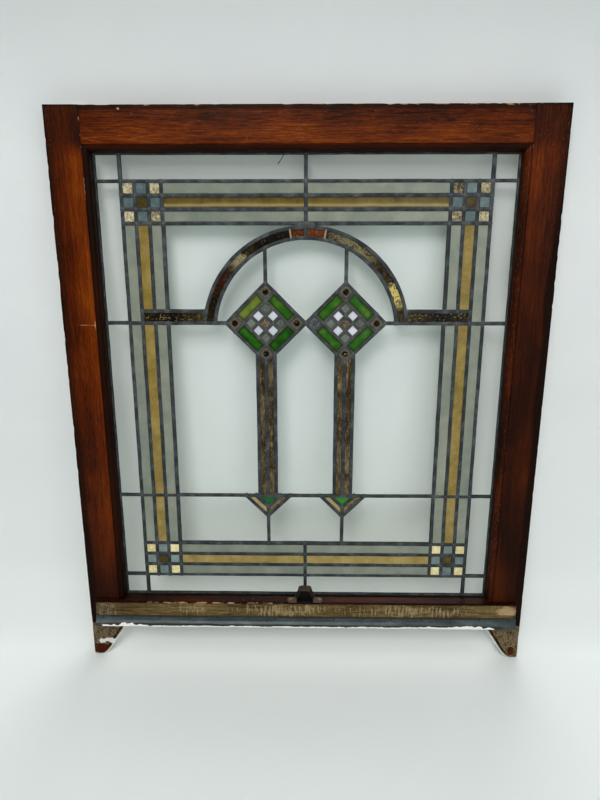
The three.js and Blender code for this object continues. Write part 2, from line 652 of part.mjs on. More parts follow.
function glazingPutty() {
  const { wide, low } = PUTTY;
  const start = PANEL_FRONT + CAME.deep + GAP;
  const crest = BACK - PUTTY.crest;
  const wall = SIGHT_X + REBATE - GAP;
  const top = SIGHT_TOP + REBATE - GAP;
  const bottom = LEDGE_Z - REBATE + GAP;
  // The bead in section, from the rebate's wall inwards: [distance along `inward`, depth].
  const bead = (inward) => [[0, start], [0, crest], [inward * wide, start + low], [inward * wide, start]];
  const level = (z, inward) =>
    run(outline(bead(inward).map(([across, y]) => [y, z + across])), -wall, wall);
  const upright = column(outline(bead(-1).map(([across, y]) => [wall + across, y])), bottom, top);
  // Each length is mitred by a wedge that narrows inwards from the corners.
  const mitre = 4 * wide;
  const mitred = (bar, points) => bar.intersect(slab(outline(points), start - PAST, BACK + PAST));
  const across = (z, inward) => mitred(level(z, inward), [
    [-wall, z], [wall, z], [wall - mitre, z + inward * mitre], [mitre - wall, z + inward * mitre],
  ]);
  const right = mitred(upright, [
    [wall, bottom], [wall, top], [wall - mitre, top - mitre], [wall - mitre, bottom + mitre],
  ]);
  return join([across(top, -1), across(bottom, 1), right, right.mirror([1, 0, 0])]);
}

// ---------------------------------------------------------------------------------------------------------
// The sash
// ---------------------------------------------------------------------------------------------------------

const woodwork = new THREE.Group();
woodwork.add(piece("top_rail", topRail(), MATERIALS.wood));
woodwork.add(piece("meeting_rail", meetingRail(), MATERIALS.wood));
SIDES.forEach(([word, side]) => woodwork.add(piece(`stile_${word}`, stile(side), MATERIALS.wood)));

const fittings = new THREE.Group();
fittings.add(piece("weatherstrip", weatherstrip(), MATERIALS.zinc));
fittings.add(piece("lock_keeper", lockKeeper(), MATERIALS.bronze));
SIDES.forEach(([word, side]) =>
  fittings.add(piece(`keeper_screw_${word}`, keeperScrew(side), MATERIALS.brass)));

glazeMargin();
glazeBorder();
glazeArch();
glazeMotifs();
glazeField();
const panel = new THREE.Group();
panel.position.y = PANEL_FRONT;
panel.add(piece("lead_cames", leadCames(), MATERIALS.lead), ...panes);

const sash = new THREE.Group();
sash.add(woodwork, fittings, panel, piece("glazing_putty", glazingPutty(), MATERIALS.putty));

export default sash;
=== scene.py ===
# %% [markdown]
# # An old window sash with a leaded art glass panel
#
# This script dresses a finished CAD model of an upper window sash. The CAD model settles where every
# piece is and how big it is. Here each piece gets the surface that a hundred years of use have given it:
# crazed varnish, worn edges, peeling paint, hand-soldered lead, and many kinds of glass. Every length is
# in metres.

# %% Load the frame
import math

import bmesh
import bpy
import numpy as np
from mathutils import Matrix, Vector


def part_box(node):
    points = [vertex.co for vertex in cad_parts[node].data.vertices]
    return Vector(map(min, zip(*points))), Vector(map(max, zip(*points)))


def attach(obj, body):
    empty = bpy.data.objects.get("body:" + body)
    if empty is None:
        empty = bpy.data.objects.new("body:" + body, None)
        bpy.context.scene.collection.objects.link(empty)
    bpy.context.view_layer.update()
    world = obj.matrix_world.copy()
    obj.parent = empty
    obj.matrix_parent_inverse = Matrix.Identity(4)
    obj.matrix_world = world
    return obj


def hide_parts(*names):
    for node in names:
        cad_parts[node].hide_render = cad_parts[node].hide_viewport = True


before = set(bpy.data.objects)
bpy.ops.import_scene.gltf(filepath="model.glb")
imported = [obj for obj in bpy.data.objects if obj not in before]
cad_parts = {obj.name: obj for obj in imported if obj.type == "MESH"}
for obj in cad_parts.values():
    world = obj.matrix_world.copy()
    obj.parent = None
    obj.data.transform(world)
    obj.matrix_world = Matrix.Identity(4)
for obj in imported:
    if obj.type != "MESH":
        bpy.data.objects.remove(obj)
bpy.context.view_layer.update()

MM = 0.001
X, Y, Z = 0, 1, 2
LOWEST, HIGHEST = 0, 1

# %% [markdown]
# ## Reading sizes off the frame
#
# Nothing here is placed by eye. The wood's limits are the corners of its nodes' boxes. A lead line runs
# midway between the two panes that it joins, so each one is the average of two facing edges.

# %% The wood's limits and the lead's centre lines
half_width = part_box("stile_right")[HIGHEST].x
front_y, back_y = (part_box("stile_right")[corner].y for corner in (LOWEST, HIGHEST))
foot_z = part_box("stile_right")[LOWEST].z
sight_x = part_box("stile_right")[LOWEST].x
sight_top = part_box("top_rail")[LOWEST].z
ledge_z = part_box("meeting_rail")[HIGHEST].z
rail_base_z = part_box("meeting_rail")[LOWEST].z
rail_toe_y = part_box("meeting_rail")[LOWEST].y


def seam(lower, upper, axis):
    """The lead's centre line between two panes: midway between the edges that face each other."""
    return (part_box(lower)[HIGHEST][axis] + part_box(upper)[LOWEST][axis]) / 2


CAME_WIDE = 5.5 * MM
KERF = 1.1 * MM  # from a lead's centre line to the edge of the glass in it
lead_low, lead_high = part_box("lead_cames")
edge_x = lead_high.x - CAME_WIDE / 2
edge_top, edge_bottom = lead_high.z - CAME_WIDE / 2, lead_low.z + CAME_WIDE / 2
lead_front, lead_back = lead_low.y, lead_high.y
glass_front, glass_back = (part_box("margin_top")[corner].y for corner in (LOWEST, HIGHEST))

border_x = -seam("margin_left", "border_left_opal_outer", X)
bar_end = -seam("border_left_opal_outer", "border_left_amber_upper", X)
field_x = -seam("border_left_opal_inner_upper", "field_top_left", X)
pitch = (border_x - field_x) / 3
border_top = seam("border_top_opal_outer", "margin_top", Z)
field_top = seam("field_top_left", "border_top_opal_inner", Z)
bar_top = seam("arch_bar_left", "field_top_left", Z)
mid_z = seam("field_side_left", "arch_bar_left", Z)
low_z = seam("field_low_left", "field_side_left", Z)
field_bottom = seam("border_bottom_opal_inner", "field_low_left", Z)
border_bottom = seam("margin_bottom", "border_bottom_opal_outer", Z)
lines_found = (border_x, bar_end, field_x, border_top, field_top, bar_top, mid_z)
print("lead lines:", [round(v / MM, 2) for v in lines_found])

# %% The arch, the diamonds and the arrow tips
ARCH_OUTER, ARCH_INNER = 161.25 * MM, 144.75 * MM
arch_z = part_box("arch_crown")[HIGHEST].z + KERF - ARCH_OUTER
diamond_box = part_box("diamond_right")
diamond_x = (diamond_box[LOWEST].x + diamond_box[HIGHEST].x) / 2
diamond_half = (diamond_box[HIGHEST].x - diamond_box[LOWEST].x) / 2 + KERF * math.sqrt(2)
RING = 20.15 * MM  # width of the diamonds' outer ring
stem_half = (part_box("stem_right")[HIGHEST].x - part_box("stem_right")[LOWEST].x) / 2 + KERF
tip_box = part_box("arrow_tip_right")
tip_outer = (tip_box[HIGHEST].x - tip_box[LOWEST].x) / 2 + KERF * (1 + math.sqrt(2))
TIP_INNER = 20.5 * MM
KEY_LEFT, KEY_RIGHT = 24 * MM, 30 * MM  # reach of the crown pieces at the band's middle


def arch_x(radius, z):
    """Half the width of a circle about the arch's centre at height z."""
    return np.sqrt(radius**2 - (z - arch_z) ** 2)


def arch_height(radius, x):
    """The height of that circle at a distance x from the middle."""
    return arch_z + np.sqrt(radius**2 - x**2)


print("diamond:", round(diamond_x / MM, 2), round(diamond_half / MM, 2), "tip:", round(tip_outer / MM, 2))

# %% [markdown]
# ## The camera
#
# The sash is seen from a standing eye about a metre away, a little below its top edge, looking down at
# its foot, so its sides draw together towards the bottom. A 27 mm lens on a 36 mm frame has the same wide
# angle.

# %% Place the camera
EYE = (5.84 * MM, -954.2 * MM, -198.5 * MM)
TILT, TURN = math.radians(75.661), math.radians(0.884)  # up from straight down, and round to the left
camera_data = bpy.data.cameras.new("camera")
camera_data.lens, camera_data.sensor_width = 27.0, 36.0
camera = bpy.data.objects.new("camera", camera_data)
camera.location, camera.rotation_euler = EYE, (TILT, 0, TURN)
bpy.context.scene.collection.objects.link(camera)
bpy.context.scene.camera = camera
print("camera looks down by", round(90 - math.degrees(camera.rotation_euler.x), 1), "degrees")

# %% [markdown]
# ## Meshes from arrays
#
# Nearly every piece here is a bar: a closed section carried along a path. As an array that is one ring of
# points for each station, of shape (stations, points, 3). One function turns such rings into a closed
# mesh, and every piece of wood, lead and glass goes through it.

# %% Rings of points to a closed mesh
SHARP_EDGE = math.radians(40)
WELD, SLIVER = 2e-6, 1e-7  # points this near are joined, and edges this short go


def spread(x, y, z):
    """Places from three arrays of coordinates, each stretched to the others' shape: (..., 3)."""
    return np.stack(np.broadcast_arrays(x, y, z), axis=-1)


def shell(rings, closed=False):
    """Quads between neighbouring points and rings, its ends capped or the last ring joined to the first."""
    stations, around = rings.shape[:2]
    index = np.arange(stations * around).reshape(stations, around)
    start = index if closed else index[:-1]
    end = np.roll(index, -1, axis=0) if closed else index[1:]
    quads = np.stack([start, np.roll(start, -1, 1), np.roll(end, -1, 1), end], -1).reshape(-1, 4)
    caps = [] if closed else [index[0, ::-1].tolist(), index[-1].tolist()]
    return rings.reshape(-1, 3), quads.tolist() + caps


def together(shells):
    """Several shells as one list of points and one of faces."""
    points, faces, count = [], [], 0
    for shell_points, shell_faces in shells:
        points.append(shell_points)
        faces += [[count + corner for corner in face] for face in shell_faces]
        count += len(shell_points)
    return np.concatenate(points), faces


def dress(name, mesh, stands_for):
    """An object for a mesh, riding on the sash, and in place of the CAD nodes it stands for."""
    thing = bpy.data.objects.new(name, mesh)
    bpy.context.scene.collection.objects.link(thing)
    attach(thing, "root")
    if stands_for:
        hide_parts(*stands_for)
    return thing


def make(name, shape, material, stands_for=(), marks=None):
    """A mesh object from (points, faces). `marks` are values for each point that its material can read."""
    points, faces = shape
    mesh = bpy.data.meshes.new(name)
    mesh.from_pydata(points.tolist(), [], faces)
    for mark, values in (marks or {}).items():
        mesh.attributes.new(mark, "FLOAT", "POINT").data.foreach_set("value", values.astype(np.float32))
    clean = bmesh.new()
    clean.from_mesh(mesh)
    bmesh.ops.remove_doubles(clean, verts=clean.verts, dist=WELD)
    bmesh.ops.dissolve_degenerate(clean, edges=clean.edges, dist=SLIVER)
    bmesh.ops.recalc_face_normals(clean, faces=clean.faces)
    clean.to_mesh(mesh)
    clean.free()
    mesh.shade_smooth()
    mesh.set_sharp_from_angle(angle=SHARP_EDGE)
    mesh.materials.append(material)
    triangles = sum(len(face.vertices) - 2 for face in mesh.polygons)
    print(f"{name}: {len(mesh.vertices)} points, {triangles} triangles")
    return dress(name, mesh, stands_for)


# %% Smooth random values
lattice = np.random.default_rng(7).uniform(-1, 1, 4096)


def noise(points, size, seed=0):
    """Value noise from -1 to 1: random numbers on a lattice of cells `size` wide, eased between corners."""
    scaled = np.asarray(points, float) / np.asarray(size) + 17.0 * seed
    cell = np.floor(scaled).astype(np.int64)
    part = scaled - cell
    part = part * part * (3 - 2 * part)
    total = np.zeros(scaled.shape[:-1])
    for corner in np.ndindex(2, 2, 2):
        at = cell + np.array(corner)
        number = (at[..., 0] * 73856093) ^ (at[..., 1] * 19349663) ^ (at[..., 2] * 83492791)
        weight = np.prod(np.where(np.array(corner) == 1, part, 1 - part), axis=-1)
        total += lattice[(number ^ (number >> 13)) % len(lattice)] * weight
    return total


def rough(points, size, seed):
    """Noise with finer and fainter noise added to it: half and a quarter of its size and of its strength."""
    return sum(noise(points, np.asarray(size) / 2**n, seed + n) / 2**n for n in range(3))


def step(value, start, end):
    """0 up to `start`, 1 from `end`, and an eased slope between them."""
    t = np.clip((value - start) / (end - start), 0, 1)
    return t * t * (3 - 2 * t)


def bump(value, centre, width):
    """A bell: 1 at the centre, fading to nothing about two widths away."""
    return np.exp(-(((value - centre) / width) ** 2))


print("noise at three places:", noise(np.array([[0.1, 0, 0], [0.2, 0, 0], [0.3, 0, 0]]), 0.05).round(2))

# %% [markdown]
# ## Shader maths as formulas
#
# A node tree is easier to read as a formula. The small class below wraps one output socket, so that
# `grain * 0.4 + 0.2` or `1 - mask` adds the Math nodes by itself. Everything else goes through one
# method, `node`, which takes the node's type, its settings, and the values or wires of its inputs.

# %% A socket that can be used in formulas
class Wire:
    """One output of a shader node, which can be used in ordinary arithmetic."""

    def __init__(self, tree, socket=None):
        self.tree, self.socket = tree, socket

    def node(self, kind, inputs=None, output=0, stops=None, **settings):
        """Adds a node: its settings first, then its inputs by name or number, and gives one output."""
        made = self.tree.nodes.new("ShaderNode" + kind)
        for name, value in settings.items():
            setattr(made, name, value)
        for place, (position, colour) in enumerate(stops or []):
            elements = made.color_ramp.elements
            element = elements[place] if place < len(elements) else elements.new(position)
            element.position, element.color = position, (*colour, 1)
        for name, value in (inputs or {}).items():
            if isinstance(value, Wire):
                self.tree.links.new(value.socket, made.inputs[name])
            else:
                made.inputs[name].default_value = value
        return Wire(self.tree, made.outputs[output])

    def maths(self, operation, first, second=0.0):
        """A Math node on one or two values or wires."""
        return self.node("Math", {0: first, 1: second}, operation=operation)

    def __add__(self, other):
        return self.maths("ADD", self, other)

    def __sub__(self, other):
        return self.maths("SUBTRACT", self, other)

    def __rsub__(self, other):
        return self.maths("SUBTRACT", other, self)

    def __mul__(self, other):
        return self.maths("MULTIPLY", self, other)

    __radd__, __rmul__ = __add__, __mul__

    def step(self, start, end):
        """0 up to `start`, 1 from `end`, and an eased slope between them."""
        return self.node("MapRange", {0: self, 1: start, 2: end}, interpolation_type="SMOOTHSTEP")

    def ramp(self, *stops):
        """A colour for each value: the stops are (value, colour)."""
        return self.node("ValToRGB", {0: self}, stops=stops)


print("what a wire can do, besides sums:", [name for name in vars(Wire) if not name.startswith("_")])


# %% Materials
def colour(red, green, blue):
    """A colour given as it looks on a screen, 0 to 255, as the linear values that a shader wants."""
    values = np.array([red, green, blue]) / 255
    return tuple(np.where(values <= 0.04045, values / 12.92, ((values + 0.055) / 1.055) ** 2.4).tolist())


class Finish(Wire):
    """A material under construction: a Principled shader, and the patterns that feed it."""

    def __init__(self, name, **plain):
        self.material = bpy.data.materials.new(name)
        self.material.use_nodes = True
        super().__init__(self.material.node_tree)
        self.shader = self.tree.nodes["Principled BSDF"]
        self.place = self.node("TexCoord", output="Object")
        for socket, value in plain.items():
            self.shader.inputs[socket.replace("_", " ")].default_value = value

    def feed(self, **wires):
        """Links patterns to the shader's inputs."""
        for socket, wire in wires.items():
            self.tree.links.new(wire.socket, self.shader.inputs[socket.replace("_", " ")])

    def noise(self, size, detail=3.0, stretch=(1, 1, 1), shift=0.0, wild=0.5):
        """Noise with features `size` metres wide, drawn out by `stretch` along each axis."""
        scale = tuple(1 / (size * s) for s in stretch)
        vector = self.node("Mapping", {"Vector": self.place, "Scale": scale, "Location": (shift,) * 3})
        return self.node("TexNoise", {"Vector": vector, "Scale": 1.0, "Detail": detail, "Roughness": wild})

    def mark(self, name):
        """A value that was stored on the mesh's points."""
        return self.node("Attribute", output="Fac", attribute_name=name)

    def mix(self, factor, first, second):
        """One colour over another: first * (1 - factor) + second * factor."""
        picked = {0: factor, 6: first, 7: second}
        opaque = {n: (*v, 1) if isinstance(v, tuple) else v for n, v in picked.items()}
        return self.node("Mix", opaque, output=2, data_type="RGBA")

    def relief(self, height, strength, depth):
        """Bumps from a height pattern, `depth` metres high where it goes from 0 to 1."""
        inputs = {"Height": height, "Strength": strength, "Distance": depth}
        self.feed(Normal=self.node("Bump", inputs))


print("a mid grey in linear light:", [round(v, 3) for v in colour(128, 128, 128)])

# %% [markdown]
# ## Varnished wood
#
# The wood is old fir under dark varnish. The growth rings show as long streaks, so the noise is stretched
# thirty times along the grain. What is worn, painted or dirty depends on the place, and so do the painted
# shade in the mouldings, the painted warm light on the faces and the pale painted highlights on the grain,
# so those are marks on the mesh, and the shader only roughens their edges with fine noise. One function
# makes both grain directions.

# %% The wood's finish
def wood_finish(name, along, figured=1.0):
    """Varnished fir with its grain along axis `along`, and marks for wear, soiling with painted shade,
    painted warm light, painted highlights, old paint and bare wood. The growth rings are the contour lines of
    a slow, drawn-out noise: the sine of many times its value."""
    it = Finish(name, Specular_IOR_Level=0.08, Coat_Roughness=0.25, IOR=1.5)

    def drawn(length):
        """A stretch of that length along the grain, and of 1 across it."""
        return tuple(length if axis == along else 1.0 for axis in range(3))

    figure = it.noise(20 * MM, 3, drawn(14), wild=0.5)
    rings = it.maths("SINE", figure * 90.0) * 0.5 + 0.5
    streaks = it.noise(3.2 * MM, 4, drawn(30), shift=3.0, wild=0.6)
    pores = it.noise((0.8 + 0.5 * figured) * MM, 2, drawn(9), shift=5.0, wild=0.6)
    cloud = it.noise(60 * MM, 3, drawn(1.8), shift=9.0)
    crumbs = it.noise(2.2 * MM, 5, shift=1.0, wild=0.75)
    grain = rings * (0.15 * figured) + streaks * 0.42
    grain = grain + pores * (0.38 + 0.14 * figured) + (0.1 - 0.145 * figured)

    def patch(mark, raggedness):
        """A mark with a ragged edge: noise is added to it, and the sum is cut off at about a half."""
        return (it.mark(mark) + (crumbs - 0.5) * raggedness).step(0.42, 0.56)

    # A lighter, warmer tone where the mesh marks painted light.
    glow = it.mark("glow")
    tone = (grain - 0.5) * 1.1 + (cloud - 0.5) * 0.7 + glow * 0.42 + 0.35
    varnish = tone.ramp(
        (0.0, colour(26, 9, 2)), (0.25, colour(60, 23, 4)), (0.45, colour(92, 38, 5)),
        (0.65, colour(118, 56, 8)), (0.85, colour(144, 78, 16)), (1.0, colour(172, 110, 48)),
    )
    # Pale specks along the grain are painted highlights, standing in for the sheen of the varnish.
    fleck = (it.noise(0.8 * MM, 3, drawn(8), shift=13.0, wild=0.6) + it.mark("flecks") * 0.1).step(0.71, 0.82)
    varnish = it.mix(fleck * 0.45, varnish, colour(180, 134, 94))
    # The darkening mark holds soiling and painted shade together.
    dirt = (it.mark("dirt") + (grain - 0.5) * 0.55 + (crumbs - 0.5) * 0.35).step(0.05, 1.0)
    skin = it.mix(dirt, varnish, it.mix(fleck * 0.35, colour(22, 12, 7), colour(120, 96, 76)))
    raw = (grain * 1.2 + cloud * 0.6 + (crumbs - 0.5) * 0.6 - 0.4).ramp(
        (0.0, colour(38, 30, 20)), (0.35, colour(84, 69, 42)), (0.6, colour(116, 99, 64)),
        (0.9, colour(156, 141, 106)),
    )
    bare = patch("bare", 0.5)
    base = it.mix(bare, skin, it.mix(dirt * 0.8, raw, colour(22, 15, 10)))
    brushed = it.noise(3.4 * MM, 4, (1, 1, 6), shift=15.0, wild=0.6)
    scraped = (it.mark("scraped") + (brushed - 0.5) * 1.9 + (crumbs - 0.5) * 0.7).step(0.5, 0.75)
    base = it.mix(scraped * 0.85, base, it.mix(grain, colour(124, 104, 74), colour(186, 170, 134)))
    veins = it.noise(7 * MM, 4, drawn(1.8), shift=17.0, wild=0.6)
    crack = 1 - it.maths("ABSOLUTE", veins - 0.5).step(0.008, 0.035)
    taupe = patch("taupe", 0.9)
    old_skin = it.mix(crumbs.step(0.4, 0.62), colour(94, 80, 60), colour(150, 134, 106))
    base = it.mix(taupe, base, it.mix(crack * 0.85, old_skin, colour(38, 30, 24)))
    chips = patch("chips", 1.1)
    base = it.mix(chips, base, it.mix(grain, colour(120, 90, 60), colour(206, 182, 146)))
    paint = patch("paint", 0.9)
    base = it.mix(paint, base, it.mix(cloud, colour(212, 210, 202), colour(242, 242, 238)))
    dull = bare.maths("MAXIMUM", bare.maths("MAXIMUM", taupe, paint), bare.maths("MAXIMUM", scraped, chips))
    it.feed(
        Base_Color=base, Roughness=dull * 0.3 + dirt * 0.2 + grain * 0.15 + 0.32,
        Coat_Weight=(1 - dull) * (0.08 - dirt * 0.06),
    )
    it.relief(grain * 0.8 + paint * 0.9 + fleck * 0.3 + crumbs * 0.3 * dull, 0.7, 0.4 * MM)
    return it.material


upright_wood = wood_finish("varnished wood, grain upright", Z, figured=0.4)
level_wood = wood_finish("varnished wood, grain level", X)
print("wood finishes:", upright_wood.name, "and", level_wood.name)

# %% [markdown]
# ## Profiles carried along a path
#
# A moulding is a section pulled along a line. The section is a list of corners, each rounded as far as
# wear has rounded it. Where a stile is cut, at the mitre above and at the horn below, the section's
# points are pushed sideways onto the cut, which keeps the mesh one closed skin.

# %% Sections
def section(corners):
    """A closed outline from corners (across, deep, radius, spacing). Each corner is rounded by its radius,
    and the side that follows it is divided into steps of about its spacing. Millimetres in, metres out."""
    table = np.array(corners, float)
    spots, radii, spacing = table[:, :2], table[:, 2:3], table[:, 3]
    ahead = np.roll(spots, -1, axis=0) - spots
    unit = ahead / np.linalg.norm(ahead, axis=1, keepdims=True)
    enter, leave = spots - np.roll(unit, 1, axis=0) * radii, spots + unit * radii
    stretches = []
    for n, spot in enumerate(spots):
        if radii[n] > 0:
            t = np.linspace(0, 1, 4, endpoint=False)[:, None]
            stretches.append((1 - t) ** 2 * enter[n] + 2 * t * (1 - t) * spot + t**2 * leave[n])
        side = enter[(n + 1) % len(spots)] - leave[n]
        count = max(1, round(float(np.linalg.norm(side)) / spacing[n]))
        stretches.append(leave[n] + side * np.linspace(0, 1, count, endpoint=False)[:, None])
    return np.concatenate(stretches) * MM


def inward(outline):
    """The unit direction into the material at each point of an outline: its tangent, turned a quarter."""
    tangent = np.roll(outline, -1, axis=0) - np.roll(outline, 1, axis=0)
    area = np.sum(outline[:, 0] * np.roll(outline[:, 1], -1) - np.roll(outline[:, 0], -1) * outline[:, 1])
    normal = np.stack([-tangent[:, 1], tangent[:, 0]], axis=-1) * np.sign(area)
    return normal / np.linalg.norm(normal, axis=1, keepdims=True)


def stops(low, high, spacing, *exact):
    """Even steps from low to high, with some exact values among them."""
    even = np.linspace(low, high, round((high - low) / spacing) + 1)
    return np.unique(np.round(np.concatenate([even, *[np.atleast_1d(e) for e in exact]]), 7))


STICKING, QUIRK, OVOLO, REBATE = 9.0, 2.5, 6.5, 5.5  # millimetres, as the sections are
FRONT, BACK, SHOULDER = front_y / MM, back_y / MM, (lead_front / MM) - 0.3


def moulding():
    """The moulded edge as (in from the face's edge, down from it): a step, a quarter round, a fillet."""
    angle = np.radians(np.linspace(0, 90, 9))
    across, deep = STICKING - OVOLO + OVOLO * np.sin(angle), QUIRK + OVOLO * (1 - np.cos(angle))
    round_part = [(a, d, 0.0, 2.0) for a, d in zip(across, deep)]
    return [(0, 0, 0.9, 1.0), (0.6, QUIRK, 0.3, 1.0), *round_part, (STICKING, SHOULDER - FRONT, 0.4, 2.0)]


print("moulding corners:", len(moulding()))

# %% [markdown]
# ## The stiles
#
# A stile is the upright side of the sash. Its lower end runs past the meeting rail as a horn, cut to a
# short ogee. Its outer edge is grooved for the sash cord, with a hole for the cord's knot, and the
# meeting rail's tenon comes right through it. All of these are depths in the outer edge, looked up point
# by point.

# %% Cuts and hollows of a stile
face_x = half_width / MM - 52
RAIL_FACE = 53.0
GROOVE_WIDE, GROOVE_DEEP, KNOT_Z, KNOT_RADIUS, KNOT_DEEP = 12.7, 11.0, -150.0, 9.5, 20.0
TENONS = [(-46.0, -10.0), (-842.0, -812.0)]  # lowest and highest z of the two tenons
TENON_HALF = 5.0
HORN_TOP = -856.0


def stile_limit(z):
    """The least |x| of a stile at height z: the shoulder and mitre above, and the horn's ogee below."""
    t = np.linspace(0, 1, 60)
    toe, sight, foot = half_width / MM - 16, sight_x / MM, foot_z / MM
    bend = [(1 - t) ** 3, 3 * t * (1 - t) ** 2, 3 * t**2 * (1 - t), t**3]
    across = bend[0] * toe + bend[1] * (toe - 14) + bend[2] * (toe - 26) + bend[3] * sight
    up = bend[0] * foot + bend[1] * (foot + 3) + bend[2] * (foot + 33) + bend[3] * HORN_TOP
    horn = np.interp(z / MM, up, across)
    mitre = np.clip(face_x + (z / MM + RAIL_FACE), sight, face_x)
    return np.where(z / MM > HORN_TOP, mitre, horn) * MM


def edge_depth(y, z):
    """How deep the stile's outer edge is hollowed: the cord's groove, its knot's hole, the tenon's end."""
    y, z = np.abs(y) / MM, z / MM
    groove = GROOVE_DEEP * ((y < GROOVE_WIDE / 2) & (z > KNOT_Z))
    hole = KNOT_DEEP * (y**2 + (z - KNOT_Z) ** 2 < KNOT_RADIUS**2)
    ends = [(y < TENON_HALF + 0.3) & (z > low - 0.3) & (z < high + 0.3) for low, high in TENONS]
    return (np.maximum(groove, hole) + 2.0 * (ends[0] | ends[1])) * MM


print("least |x| at the horn's foot:", round(float(stile_limit(foot_z)) / MM, 1))

# %% The stiles' shape
def on_face(y):
    """1 on the flat front, and 0 in the moulding and behind it."""
    return step(-y, 15.6 * MM, 17.0 * MM)


def on_back(y):
    """1 on the back, and 0 from a few millimetres in front of it."""
    return step(y, 12 * MM, 17.2 * MM)


def old_paint(points, size, seed):
    """The back's flaked paint, as the back's mask times slow noise of the given size."""
    return on_back(points[:, Y]) * (0.62 + 0.35 * rough(points, size, seed))


def stroke(points, start, end, width):
    """1 on a straight scratch between two places (x, z), fading over `width`. Millimetres."""
    start, end = np.array(start) * MM, np.array(end) * MM
    flat, run = points[:, [X, Z]] - start, end - start
    along = np.clip(flat @ run / (run @ run), 0, 1)
    return bump(np.linalg.norm(flat - along[:, None] * run, axis=1), 0, width * MM)


def stile_shape(side):
    """The stile's section at each height, pushed onto its cuts, with a worn arris and a hollow edge."""
    edge = [(half_width / MM, y, 0.0, 1.4) for y in (6.6, 6.2, 5.4, 5.1, -5.1, -5.4, -6.2, -6.6)]
    inner = [(face_x - across, FRONT + deep, r, s) for across, deep, r, s in moulding()]
    rebate = [(sight_x / MM + REBATE, SHOULDER, 0.0, 3.0), (sight_x / MM + REBATE, BACK, 0.8, 4.0)]
    outline = section([
        (half_width / MM, FRONT, 1.4, 1.7), *inner, *rebate, (half_width / MM, BACK, 1.0, 1.8), *edge,
    ])
    knot = np.arange(KNOT_Z - 11, KNOT_Z + 11, 0.8) * MM
    ends = np.array([[low - 0.4, low - 0.2, high + 0.2, high + 0.4] for low, high in TENONS]).ravel() * MM
    exact = np.array([-RAIL_FACE, -RAIL_FACE - STICKING, HORN_TOP, KNOT_Z - 0.1, KNOT_Z + 0.1, -318]) * MM
    heights = stops(foot_z, 0, 2.4 * MM, knot, ends, exact)
    spots = spread(outline[None, :, 0], outline[None, :, 1], heights[:, None])
    u, y, z = np.moveaxis(spots, -1, 0)
    arris = bump(np.hypot(u - half_width, y - front_y), 0, 2.2 * MM)
    arris += bump(np.hypot(u - face_x * MM, y - front_y), 0, 1.6 * MM) * 0.6
    worn = step(rough(spots, (0.01, 0.01, 0.012), 3 + side), 0.1, 1.1) * 1.1 * arris
    depth = (0.12 + 0.12 * noise(spots, (0.02, 0.02, 0.12), 5 + side) + worn) * MM
    direction = inward(outline)
    hollow = np.where(u >= half_width - 1e-6, edge_depth(y, z), 0)
    foot_wear = step(-z, 0.895, 0.914) * (1 + rough(spots, 0.02, 8 + side)) * 0.8 * MM * (y < 0)
    u_new = np.maximum(u + direction[None, :, 0] * depth - hollow, stile_limit(z))
    y_new = y + direction[None, :, 1] * (depth + foot_wear)
    return shell(np.stack([side * u_new, y_new, z], axis=-1))


print("the front's mark at 15, 16 and 17 mm:", on_face(np.array([-15, -16, -17]) * MM).round(2))

# %% What a stile carries
# The scratches of the left stile, -1, and of the right one, 1: (start, end, width, strength).
SCRATCHES = {
    1: [
        ((352, -66), (362, -46), 0.9, 0.5), ((347, -50), (352, -45), 0.8, 0.4),
        ((376, -20), (375, -70), 0.8, 0.45),
    ],
    -1: [
        ((-352, -318), (-331, -318), 1.0, 0.62), ((-330.3, -311), (-330.3, -325), 1.0, 0.75),
        ((-364, -318), (-354, -318), 1.0, 0.4), ((-342.5, -461), (-342.5, -480), 1.0, 0.6),
        ((-329, -100), (-329, -130), 1.0, 0.5),
    ],
}


